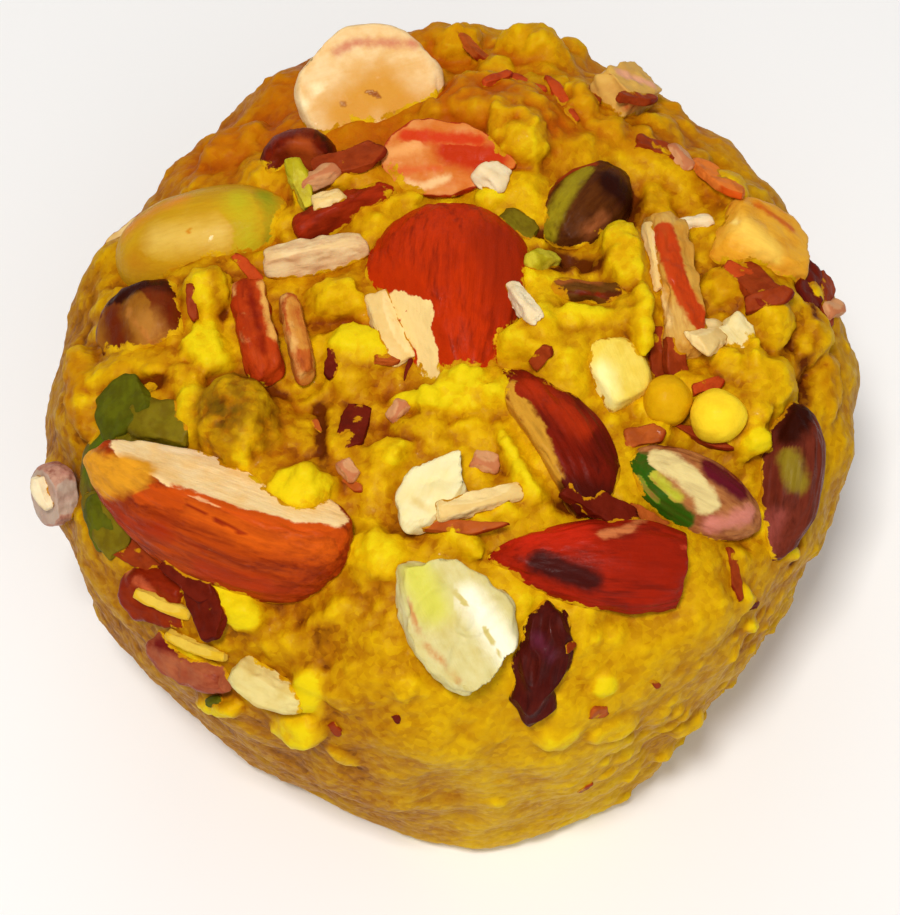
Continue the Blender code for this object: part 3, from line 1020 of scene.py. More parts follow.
@dataclass
class HalwaMound:
    """The moulded halwa: a core with its lumps and cracks, crumbs over it, merged into one solid.

    Swells are its two sizes of wave: the pitch, the shift and the height of each. Crumbs stand prouder
    around the bearing of the broken edge, and a share of the small ones is spared where a nut lies.
    """

    nuts: NutSolids
    finish: HalwaFinish = field(default_factory=HalwaFinish)
    browning: Browning = field(default_factory=Browning)
    swells: tuple[tuple[float, float, Grade], ...] = ((4.2, 0.0, (0.38, 0.62)), (2.1, 50.0, (0.12, 0.40)))
    layers: tuple[CrumbLayer, ...] = (
        CrumbLayer(150, 1.0, 2.2, 0.60, 0.08, 0.25, 0.55, 0.22),
        CrumbLayer(900, 0.50, 1.0, 0.42, 0.12, 0.40, 0.58, 0.26),
        CrumbLayer(2600, 0.30, 0.52, 0.32, 0.18, 0.55, 0.60, 0.28),
    )
    voxel: float = 0.31
    core_steps: int = 7
    triangles: int = 190000
    seed: int = 41
    grain_pitch: float = 0.95
    tuck: float = 0.38
    nut_gap: float = 2.4
    hollow_depth: float = 1.2
    hollow_edge: float = 1.3
    broken_edge: float = 46.0
    broken_width: float = 26.0
    broken_proud: float = 0.75
    tries: int = 60000
    crumb_mix: tuple[float, float] = (1.3, 2.2)
    crumb_flat: tuple[float, float] = (0.62, 0.95)
    crumb_stretch: tuple[float, float] = (1.0, 1.6)
    crumb_lean: float = 18.0
    crumb_swell: float = 0.42
    crumb_gap: float = 0.4
    small_crumb: float = 0.6
    spared_share: float = 0.12
    spared_size: float = 0.7
    lump_waves: Grade = (0.25, 0.35)
    lump_square: float = 0.85
    grain_height: Grade = (0.15, 0.14)
    flat_foot: float = 0.15
    crack_rounds: int = 9
    crack_depth: float = 0.35

    def __post_init__(self) -> None:
        """Set out the grains that the shape uses."""
        self.coarse = Grain(self.seed)
        self.fine = Grain(self.seed + 1)
        self.dice = np.random.default_rng(self.seed + 2)

    def relief(self, points: np.ndarray, outward: np.ndarray) -> np.ndarray:
        """Say how far the core stands out from the even mound.

        Args:
            points: points of the even mound.
            outward: the outward direction at each.

        Returns:
            A distance for each.
        """
        on_dome = MOUND.on_dome(points)
        fade = np.clip(points[:, 2] / MOUND.smooth_foot, 0, 1)
        out = MOUND.unevenness(points)
        clear = smooth_step(0.0, self.nut_gap, self.nuts.away(points + outward * out[:, None]))
        lumpy = np.zeros(len(points))
        for pitch, shift, height in self.swells:
            lumpy += self.coarse.at(points + shift, pitch) * graded(height, on_dome)
        out += fade * clear * lumpy - self.tuck * (1 - clear)
        for hollow in HOLLOWS:
            out -= self.hollow_depth * hollow.depth * hollow.sunk(points, self.hollow_edge)
        return out

    def core(self) -> Shell:
        """Build the core.

        Returns:
            A closed shell.
        """
        source = ball(self.core_steps)
        bearing, station = MOUND.from_ball(source.points)
        points = MOUND.points(bearing, station)
        outward = MOUND.normals(bearing, np.clip(station, 0.02, 1.99))
        out = np.where(station < 2, self.relief(points, outward), 0.0)
        points = points + outward * out[:, None]
        points[:, 2] = np.maximum(points[:, 2], 0.0)
        return Shell(points, source.faces)

    def strewn(self, layer: CrumbLayer) -> tuple[np.ndarray, np.ndarray]:
        """Choose where the crumbs of a layer lie, evenly over the surface.

        Args:
            layer: the layer.

        Returns:
            A bearing and a station for each crumb.
        """
        bearing = self.dice.uniform(-180, 180, self.tries)
        station = self.dice.uniform(0.0, 1.95, self.tries)
        round_it = MOUND.points(bearing + 1, station) - MOUND.points(bearing - 1, station)
        down_it = MOUND.points(bearing, station + 0.01) - MOUND.points(bearing, station - 0.01)
        weight = np.linalg.norm(np.cross(down_it, round_it), axis=1)
        weight *= 1 - (1 - layer.wall_share) * smooth_step(0.70, 1.0, station)
        chosen = self.dice.choice(self.tries, layer.count, replace=False, p=weight / weight.sum())
        return bearing[chosen], station[chosen]

    def crumbs(self) -> tuple[list[Shell], np.ndarray]:
        """Build the crumbs, and keep them off the faces of the nuts.

        Returns:
            The crumbs' shells, and for each crumb its middle, radius and tone.
        """
        shells, rows = [], []
        template = ball(2)
        for layer in self.layers:
            bearing, station = self.strewn(layer)
            surface = MOUND.points(bearing, station)
            outward = MOUND.normals(bearing, station)
            on_wall = smooth_step(0.55, 0.85, station)
            size = layer.small + (layer.large - layer.small) * self.dice.beta(*self.crumb_mix, layer.count)
            proud = size * (layer.proud_dome + (layer.proud_wall - layer.proud_dome) * on_wall)
            broken = np.exp(-(((bearing - self.broken_edge) / self.broken_width) ** 2))
            broken *= smooth_step(0.85, 1.15, station)
            proud += self.broken_proud * size * broken
            flat = size * self.dice.uniform(*self.crumb_flat, layer.count)
            centre = surface + outward * (self.relief(surface, outward) + proud - flat)[:, None]
            turns = self.dice.uniform(0, 360, layer.count)
            leans = self.dice.uniform(-self.crumb_lean, self.crumb_lean, layer.count)
            stretch = self.dice.uniform(*self.crumb_stretch, layer.count)
            tones = layer.tone + layer.tone_spread * self.dice.uniform(-1, 1, layer.count)
            spared = self.dice.uniform(0, 1, layer.count) < self.spared_share
            gap = np.where(size < self.small_crumb, 0.0, size * self.crumb_gap)
            clear = self.nuts.away(centre + outward * flat[:, None]) > gap
            chunks = []
            for n in np.flatnonzero(clear | (spared & (size < self.spared_size))):
                placing = MOUND.seat_frame(Seat(bearing[n], station[n], turns[n], 0.0, leans[n]))
                radii = np.array([size[n] * stretch[n], size[n], flat[n]])
                chunks.append(template.points * radii @ np.array(placing.to_3x3()).T + centre[n])
                rows.append((*centre[n], size[n], tones[n]))
            crumb = joined([Shell(chunk, template.faces) for chunk in chunks])
            middles = np.repeat(np.array([chunk.mean(0) for chunk in chunks]), len(template.points), axis=0)
            swell = 1 + self.crumb_swell * self.fine.at(crumb.points, layer.large * 0.9)
            shells.append(Shell(middles + (crumb.points - middles) * swell[:, None], crumb.faces))
        return shells, np.array(rows)

    def placed_lumps(self) -> list[Shell]:
        """Build the lumps that have their own place, pressed down where they meet a nut.

        Returns:
            A shell for each.
        """
        shells = []
        template = ball(5)
        for n, lump in enumerate(LUMPS):
            basis, place = lump.placing()
            base = self.relief(place[None], basis[None, :, 2])[0]
            thick = max(lump.proud * 1.5, lump.width * 0.45)
            radii = np.array([lump.length / 2, lump.width / 2, thick])
            local = np.sign(template.points) * np.abs(template.points) ** self.lump_square * radii
            local[:, 2] += base + 1.2 * lump.proud - thick * 0.95
            bumps = self.fine.layers(local + 7 * n, 2.4, 3) + 0.5 * self.fine.layers(local + 11 * n, 1.1, 2)
            local += template.points * (bumps * graded(self.lump_waves, lump.proud))[:, None]
            clear = smooth_step(0.2, 1.8, self.nuts.away(local @ basis.T + place))
            local[:, 2] -= (1 - lump.over) * (1 - clear) * np.maximum(local[:, 2] - base + 0.4, 0)
            shells.append(Shell(local @ basis.T + place, template.faces))
        return shells

    def merged(self, shells: list[Shell]) -> Shell:
        """Merge overlapping shells into one solid, soften it and roughen it with grains.

        Args:
            shells: closed shells that overlap.

        Returns:
            One closed shell.
        """
        source = bpy.data.objects.new("halwa_parts", joined(shells).mesh("halwa_parts"))
        put_in_scene(source)
        merge = source.modifiers.new("merge", "REMESH")
        merge.mode = "VOXEL"
        merge.voxel_size = self.voxel * MM
        soften = source.modifiers.new("soften", "SMOOTH")
        soften.factor, soften.iterations = 0.5, 1
        solid = self.evaluated(source)
        points = solid.points
        lift = smooth_step(0.2, 1.5, points[:, 2])
        on_dome = MOUND.on_dome(points)
        far, _shade = self.fine.cells(points, self.grain_pitch)
        grain = (0.55 - far) * graded(self.grain_height, on_dome) + 0.09 * self.fine.layers(points, 0.8, 2)
        points = points + solid.normals() * (lift * grain)[:, None]
        points[:, 2] = np.where(points[:, 2] < self.flat_foot, 0.0, points[:, 2])
        source.modifiers.clear()
        old = source.data
        source.data = Shell(points, solid.faces).mesh("halwa_dense")
        bpy.data.meshes.remove(old)
        thin = source.modifiers.new("thin", "DECIMATE")
        thin.ratio = min(1.0, self.triangles / len(solid.faces))
        thinned = self.evaluated(source)
        old = source.data
        bpy.data.objects.remove(source)
        bpy.data.meshes.remove(old)
        return thinned

    @staticmethod
    def evaluated(source: bpy.types.Object) -> Shell:
        """Read an object's shape with its modifiers.

        Args:
            source: the object.

        Returns:
            Its shell.
        """
        bpy.context.view_layer.update()
        ready = source.evaluated_get(bpy.context.evaluated_depsgraph_get())
        mesh = bpy.data.meshes.new_from_object(ready)
        shell = shell_of(mesh)
        bpy.data.meshes.remove(mesh)
        return shell

    def tones(self, shell: Shell, rows: np.ndarray) -> tuple[np.ndarray, np.ndarray]:
        """Work out how bright and how toasted the halwa is at each point.

        Args:
            shell: the finished mound.
            rows: each crumb's middle, radius and tone.

        Returns:
            The tone and the toast of each point, from 0 to 1.
        """
        look, points = self.browning, shell.points
        bearing = np.degrees(np.arctan2(points[:, 0], -points[:, 1]))
        on_dome = MOUND.on_dome(points)
        _far, shade = self.fine.cells(points, self.grain_pitch)
        left = smooth_step(*look.left_from, points[:, 0])
        right = smooth_step(*look.right_from, points[:, 0])
        clouds = self.coarse.layers(points, look.cloud_pitch, 3)
        tone = graded(look.middle, on_dome) + graded(look.clouds, on_dome) * clouds
        tone += look.grains * shade
        # Painted shade: the left and the right side are darkened.
        tone -= graded(look.left, on_dome) * left + look.right * right
        tree = KDTree(len(rows))
        for n, row in enumerate(rows):
            tree.insert(row[:3], n)
        tree.balance()
        for n, point in enumerate(points):
            _place, index, far = tree.find(point)
            near = min(max((look.crumb_reach - far / rows[index, 3]) / look.crumb_fade, 0.0), 1.0)
            tone[n] += near * graded(look.crumb_share, on_dome[n]) * (rows[index, 4] - tone[n])
        behind = smooth_step(*look.behind_bearing, np.abs(bearing))
        behind *= smooth_step(*look.behind_from, points[:, 1])
        clouds = self.coarse.layers(points + 90, look.toast_pitch, 2)
        toast = look.behind * behind + graded(look.toast_left, on_dome) * left
        toast += graded(look.toast_clouds, on_dome) * clouds
        # Painted shade: the valleys are darkened and browned.
        valley = np.clip(shell.sunk(look.valley_rounds) / look.valley_depth, -1, 1)
        tone -= graded(look.valley_shade, on_dome) * valley
        toast += look.valley_shade_browning * np.maximum(valley, 0)
        for lump in LUMPS:
            weight = look.lump_share * smooth_step(*look.lump_edge, lump.share(points, LUMP_REACH))
            tone += weight * (lump.tone + look.lump_contrast * (tone - 0.5) - tone)
            toast += weight * (lump.toast - toast)
        # Painted shade: each hollow is darkened and its toast taken out.
        for hollow in HOLLOWS:
            sunk = look.hollow_shade * hollow.sunk(points, look.hollow_edge)
            tone -= sunk
            toast *= 1 - sunk
        return np.clip(tone, 0, 1), np.clip(toast, 0, 1)

    def build(self) -> Shell:
        """Build the mound and dress it.

        Returns:
            The mound's shell.
        """
        crumbs, rows = self.crumbs()
        shell = self.merged([self.core(), *self.placed_lumps(), *crumbs])
        tone, toast = self.tones(shell, rows)
        shell.dress(
            "crumbled_halwa",
            "halwa",
            self.finish.material(),
            "halwa",
            tone=tone,
            toast=toast,
            # How sunk each point is; the material darkens the cracks by it as painted shade.
            hollow=np.clip(shell.sunk(self.crack_rounds) / self.crack_depth, -1, 1),
            dust=np.exp(-1.6 * DUSTED.share(shell.points, LUMP_REACH) ** 4),
        )
        return shell


# ---------------- the nuts


LEAST_FADE = 0.08
"""How far the edge of every mark fades, at least."""

UNMARKED = (-9.0, 0.1, 0.0)
"""The mark of a point that has none: well outside it, with a narrow fade."""

FINE_NUT = 9.4
FINE_BIT = 3.4
"""From which length a nut and a small piece get a finer surface."""

NUT_SHIFT = 13.0
BIT_SHIFT = 9.0
"""How far apart the noises of two nuts and of two small pieces start."""


@dataclass(frozen=True)
class Form:
    """How a piece is made from a whole nut: its taper, its size as shares of the piece's, the cuts."""

    tip: float
    blank: tuple[float, float, float]
    cuts: tuple[Cut, ...]


class Forms(Enum):
    """The forms that the pieces come in."""

    NICKED_ALMOND = Form(0.3, (1, 1, 1), ((0.42, -0.62, 0.66, 0.92),))
    SIDE_CUT = Form(0.26, (1, 1, 1), ((0, -1, 0.1, 0.35),))
    HALF_ALMOND = Form(0.3, (1, 1, 1.8), ((0, 0, -1, 0.1),))
    CUT_ALMOND = Form(0.3, (1, 1, 1.8), ((0, 0, -1, 0.1), (-1, 0.1, 0.1, 0.72)))
    WHOLE_PISTACHIO = Form(0.1, (1, 1, 1), ())
    PISTACHIO_END = Form(0.05, (1.6, 1, 1), ((1, 0.1, 0.1, 0.9), (-1, 0, 0, 1)))
    SPLIT_PISTACHIO = Form(0.1, (1, 1, 1.7), ((0, 0.15, -1, 0.25),))
    SLIVER = Form(0.1, (1.25, 1.7, 1.5), ((0, 1, 0, 1), (0, -1, 0.15, 1), (0, 0, -1, 1), (1, 0.3, 0, 1),
        (-1, 0.2, 0, 1), (0, 0.5, 1, 1.15)))
    FLAKE = Form(0.05, (1.15, 1.2, 2.6), ((0, 0, 1, 1), (0.05, 0, -1, 1), (1, 0.5, 0, 1.05),
        (-0.6, 1, 0, 1.1)))
    SCRAP = Form(0, (1.5, 1.7, 2.6), ((0, 0, 1, 1), (0, 0, -1, 1), (1, 0.5, 0.1, 1), (-1, 0.4, 0, 1),
        (0.25, 1, 0, 1), (-0.3, -1, 0.1, 1)))
    CHUNK = Form(0, (1.35, 1.3, 1.35), ((1, 0.2, 0.1, 1), (-1, 0.1, 0.2, 1), (0.15, 0.1, 1, 1),
        (0.2, -1, 0.2, 1)))
    BLOCK = Form(0, (1.6, 1.6, 1.6), ((1, 0.2, 0, 1), (-1, 0, 0.1, 1), (0.1, 1, 0, 1), (0, -1, 0.1, 1),
        (0.1, 0, 1, 1), (0, 0, -1, 1)))


class Carving(Enum):
    """What a piece feels like: its swells, ridges, cut roughness, layers and ragged outline, in mm."""

    SKINNED = (0.22, 0.12, 0.10, 0.0, 0.0)
    SMOOTH = (0.25, 0.035, 0.08, 0.0, 0.12)
    CHIPPED = (0.20, 0.05, 0.16, 0.25, 0.45)
    LAYERED = (0.30, 0.06, 0.14, 0.75, 0.80)
    WRINKLED = (0.30, 0.34, 0.30, 0.0, 0.08)


@dataclass(frozen=True)
class Mark:
    """A mark along a line on a piece: its colour, half its width and how far it fades.

    Its path holds the line's points in a row, in the mound's millimetres. Most marks are the piece's own
    colours; some are painted highlights and some painted shade, each noted where it is listed.
    """

    colour: Colour
    half_width: float
    fade: float
    path: tuple[float, ...]

    def depth(self, points: np.ndarray) -> np.ndarray:
        """Say how deep inside the mark points are.

        Args:
            points: the points.

        Returns:
            A distance from the mark's edge for each, below 0 outside it.
        """
        near = np.full(len(points), 1e3)
        ends = np.array(self.path).reshape(-1, 3)
        for start, end in zip(ends, np.vstack([ends[1:], ends[-1:]])):
            way = end - start
            share = np.clip((points - start) @ way / max(way @ way, 1e-6), 0, 1)
            near = np.minimum(near, np.linalg.norm(points - start - share[:, None] * way, axis=1))
        return self.half_width - near


@dataclass(frozen=True)
class KernelFinish:
    """The colours of one nut: its skin with patches and streaks, its cut faces and its gloss."""

    skin: Colour = "ba3408"
    patch: Colour = "962408"
    flesh: Colour = "f4d696"
    flesh_deep: Colour = "dea84e"
    streak: Colour = "701806"
    streak_cover: float = 0.35
    patch_cover: float = 0.35
    smear: Colour = "be8006"
    smear_bright: Colour = "deb20c"
    smear_amount: float = 0.10
    tear: float = 0.35
    moist: float = 0.26
    dry: float = 0.50

    def material(self, name: str) -> bpy.types.Material:
        """Build the material of one piece.

        Args:
            name: the material's name.

        Returns:
            The material.
        """
        bench = Dressing(name)
        place = bench.read("kernel", "Vector")
        mark = bench.add("SeparateXYZ", {0: bench.read("mark", "Vector")}).outputs
        patches = Mottling.on(bench, place, pitch=3.2, coverage=self.patch_cover, softness=0.10)["Mask"]
        cloudy = Mottling.on(bench, place, pitch=2.0, coverage=0.45, softness=0.16)["Mask"]
        streaks = Mottling.along(bench, place, 7.0, pitch=0.75, coverage=self.streak_cover, softness=0.12)
        hairlines = Mottling.along(bench, place, 11.0, pitch=0.28, coverage=0.42, softness=0.20)
        fibres = Mottling.along(bench, place, 5.0, pitch=0.5, coverage=0.3, softness=0.2)
        skin = bench.blend(bench.plus(0.0, patches, 0.7), paint(self.skin), paint(self.patch))
        pale = bench.plus(bench.plus(0.0, fibres, 0.3), cloudy, 0.65)
        cut = bench.blend(pale, paint(self.flesh), paint(self.flesh_deep))
        on_skin = TornEdge.on(bench, place, depth=bench.read("rind"), tear=self.tear, pitch=1.1)["Mask"]
        # The marks lay their colours over the skin and the cut faces, painted highlights and painted shade
        # among them.
        marked = TornEdge.on(bench, place, depth=mark[0], fade=mark[1], tear=0.45, pitch=0.9)["Mask"]
        colour = bench.blend(on_skin, cut, skin)
        colour = bench.blend(marked, colour, bench.read("mark_colour", "Color"))
        lines = bench.plus(bench.plus(0.0, hairlines, 0.3), streaks, 0.5)
        lines = bench.plus(0.0, lines, bench.plus(on_skin, marked, -0.6))
        colour = bench.blend(lines, colour, paint(self.streak))
        smear = HalwaSmear.on(bench, place, bed=bench.read("bed"), reach=0.42, amount=self.smear_amount)
        paste = bench.blend(cloudy, paint(self.smear), paint(self.smear_bright))
        colour = bench.blend(smear["Mask"], colour, paste)
        film = GheeFilm.on(bench, place, pitch=1.4, moist=self.moist, dry=self.dry)["Roughness"]
        rough = bench.plus(film, smear["Mask"], 0.25)
        relief = bench.plus(bench.noise(place, 3.0, 4.0, 0.6), hairlines, -0.35)
        relief = bench.plus(relief, smear["Height"], 1.5)
        return bench.food(place, colour, rough, relief, (0.45, 0.08), 0.6)


@dataclass(frozen=True)
class Morsel:
    """A piece of nut or fruit: its form, its length, width and thickness, and how it feels.

    Nicks are extra cuts, and bites are round hollows: the middle and the radius of each. The piece's own
    seed is added to those of the two grains.
    """

    form: Forms
    size: tuple[float, float, float]
    carving: Carving
    seed: int
    nicks: tuple[Cut, ...] = ()
    bites: tuple[Cut, ...] = ()
    halvings: int = 24
    skin_seeds: int = 900
    cut_seeds: int = 1700

    def outside(self, points: np.ndarray) -> tuple[np.ndarray, np.ndarray]:
        """Say how far points are outside the skin, and outside the cuts.

        Args:
            points: points in the piece's own millimetres.

        Returns:
            A signed distance from the whole nut and one from the nearest cut, for each point.
        """
        form = self.form.value
        halves = np.array(self.size) / 2
        blank = halves * np.array(form.blank)
        along = np.clip(points[:, 0] / blank[0], -3, 3)
        narrowing = np.maximum(1 - along, 1e-3) ** form.tip if form.tip else np.ones(len(points))
        radial = (points[:, 1] / (blank[1] * narrowing)) ** 2 + (points[:, 2] / (blank[2] * narrowing)) ** 2
        from_skin = (np.sqrt(along**2 + radial) - 1) * blank.min()
        from_cuts = np.full(len(points), -1e3)
        for *way, share in form.cuts + self.nicks:
            facing = np.array(way, float)
            depth = share * halves[np.argmax(np.abs(facing))]
            from_cuts = np.maximum(from_cuts, points @ (facing / np.linalg.norm(facing)) - depth)
        for *middle, radius in self.bites:
            from_cuts = np.maximum(from_cuts, radius - np.linalg.norm(points - np.array(middle), axis=1))
        return from_skin, from_cuts

    def shell(self, centre: np.ndarray, reach: np.ndarray, steps: int) -> tuple[Shell, np.ndarray]:
        """Build the piece's surface by looking outwards from its middle.

        Args:
            centre: a point inside the piece.
            reach: half of its size along each axis, to spread the points evenly.
            steps: how finely the surface is divided.

        Returns:
            The shell, and for each point how deep in the skin's zone it is.
        """
        source = ball(steps)
        ways = source.points * reach
        ways /= np.linalg.norm(ways, axis=1, keepdims=True)
        near, far = np.zeros(len(ways)), np.full(len(ways), 2.5 * max(self.size))
        round_off = min(0.30, min(self.size) * 0.12)
        for _ in range(self.halvings):
            middle = (near + far) / 2
            skin, cuts = self.outside(centre + ways * middle[:, None])
            gap = np.maximum(round_off - np.abs(skin - cuts), 0) / round_off
            beyond = np.maximum(skin, cuts) + gap * gap * round_off / 4 > 0
            far = np.where(beyond, middle, far)
            near = np.where(beyond, near, middle)
        points = centre + ways * near[:, None]
        skin, cuts = self.outside(points)
        rind = skin - cuts if self.form.value.cuts else np.full(len(points), 2.0)
        shell = Shell(points, source.faces)
        self.carve(shell, centre, rind)
        return shell, rind

    def carve(self, shell: Shell, centre: np.ndarray, rind: np.ndarray) -> None:
        """Give a shell its swells, ridges, layers and ragged outline.

        Args:
            shell: the piece's shell, which is changed.
            centre: the point that the shell was built around.
            rind: how deep in the skin's zone each point is.
        """
        swell, ridge, rough, layer, ragged = self.carving.value
        grain, finer = Grain(self.skin_seeds + self.seed), Grain(self.cut_seeds + self.seed)
        thin, broad, _long = sorted(self.size)
        outward = shell.normals()
        points = shell.points
        on_skin = smooth_step(-0.15, 0.15, rind)
        out = swell * min(thin / 5, 1.0) * grain.layers(points, thin * 0.8, 2)
        stretched = points * np.array([0.18, 1, 1])
        if self.carving is Carving.WRINKLED:
            folds = 1 - 2.2 * np.abs(finer.at(points * np.array([0.5, 1, 1]), 1.5))
            out += ridge * folds * (1 + 0.4 * grain.at(points, 3.0))
        else:
            out += on_skin * ridge * (finer.at(stretched, 0.9) + 0.6 * finer.at(stretched + 9, 0.45))
        out += (1 - on_skin) * rough * finer.layers(points, 1.4, 3)
        if layer:
            height = 1.6 * (0.5 + 0.5 * grain.layers(points * np.array([1, 0.7, 0.4]) + 5, 3.6, 2)) * 3
            steps = np.floor(height) + smooth_step(0.55, 0.95, height - np.floor(height))
            out += (1 - 0.6 * on_skin) * layer * min(thin / 2.5, 1.0) * (steps / 3 - 0.8) * 0.8
        chips = np.maximum(grain.at(points + 3, 1.6) - 0.15, 0) * smooth_step(0.7, 0.0, np.abs(rind))
        out -= 0.5 * chips * min(thin / 3, 1.0)
        away = points - centre
        away[:, 2] *= 0.3
        away /= np.maximum(np.linalg.norm(away, axis=1, keepdims=True), 1e-6)
        jags = finer.layers(points + 40, broad * 0.55, 3) * ragged * min(broad / 4, 1.0)
        shell.points = points + outward * out[:, None] + away * jags[:, None]


@dataclass(frozen=True)
class Nut:
    """One piece of the frame: its node and slot, its shape, seat, finish and marks."""

    node: str
    slot: str
    form: Forms
    size: tuple[float, float, float]
    carving: Carving
    seat: Seat
    finish: KernelFinish
    marks: tuple[Mark, ...] = ()
    nicks: tuple[Cut, ...] = ()
    bites: tuple[Cut, ...] = ()

    def build(self, seed: int, halwa: BVHTree) -> Shell:
        """Build the piece where its node is and dress it.

        Args:
            seed: the number that its grains start from.
            halwa: the surface of the halwa around it.

        Returns:
            The piece's shell.
        """
        placing = np.array(MOUND.seat_frame(self.seat))
        turn, place = placing[:3, :3], placing[:3, 3]
        local = (shell_of(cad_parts[self.node].data).points - place) @ turn
        low, high = local.min(0), local.max(0)
        morsel = Morsel(self.form, self.size, self.carving, seed, self.nicks, self.bites)
        steps = 6 if max(self.size) > FINE_NUT else 5
        shell, rind = morsel.shell((local.mean(0) + (low + high) / 2) / 2, (high - low) / 2, steps)
        kernel = shell.points
        shell.points = kernel @ turn.T + place
        name = self.node + "_kernel"
        mark, mark_colour = self.marked(shell.points)
        shell.dress(
            name,
            self.slot,
            self.finish.material(name),
            self.node,
            kernel=kernel + NUT_SHIFT * (seed + 1),
            rind=rind,
            bed=shell.gap_to(halwa),
            mark=mark,
            mark_colour=mark_colour,
        )
        return shell

    def marked(self, points: np.ndarray) -> tuple[np.ndarray, np.ndarray]:
        """Work out the piece's marks, each later one over those before it.

        Args:
            points: its points.

        Returns:
            For each point how deep in a mark it is and how far the mark fades, and the mark's colour.
        """
        marks = np.tile(UNMARKED, (len(points), 1))
        colours = np.zeros((len(points), 4))
        score = np.full(len(points), -1e3)
        for mark in self.marks:
            depth, fade = mark.depth(points), LEAST_FADE + mark.fade
            over = (depth / fade > score) | (depth > 0)
            score[over] = (depth / fade)[over]
            marks[over, 0], marks[over, 1] = depth[over], fade
            colours[over] = paint(mark.colour)
        return marks, colours


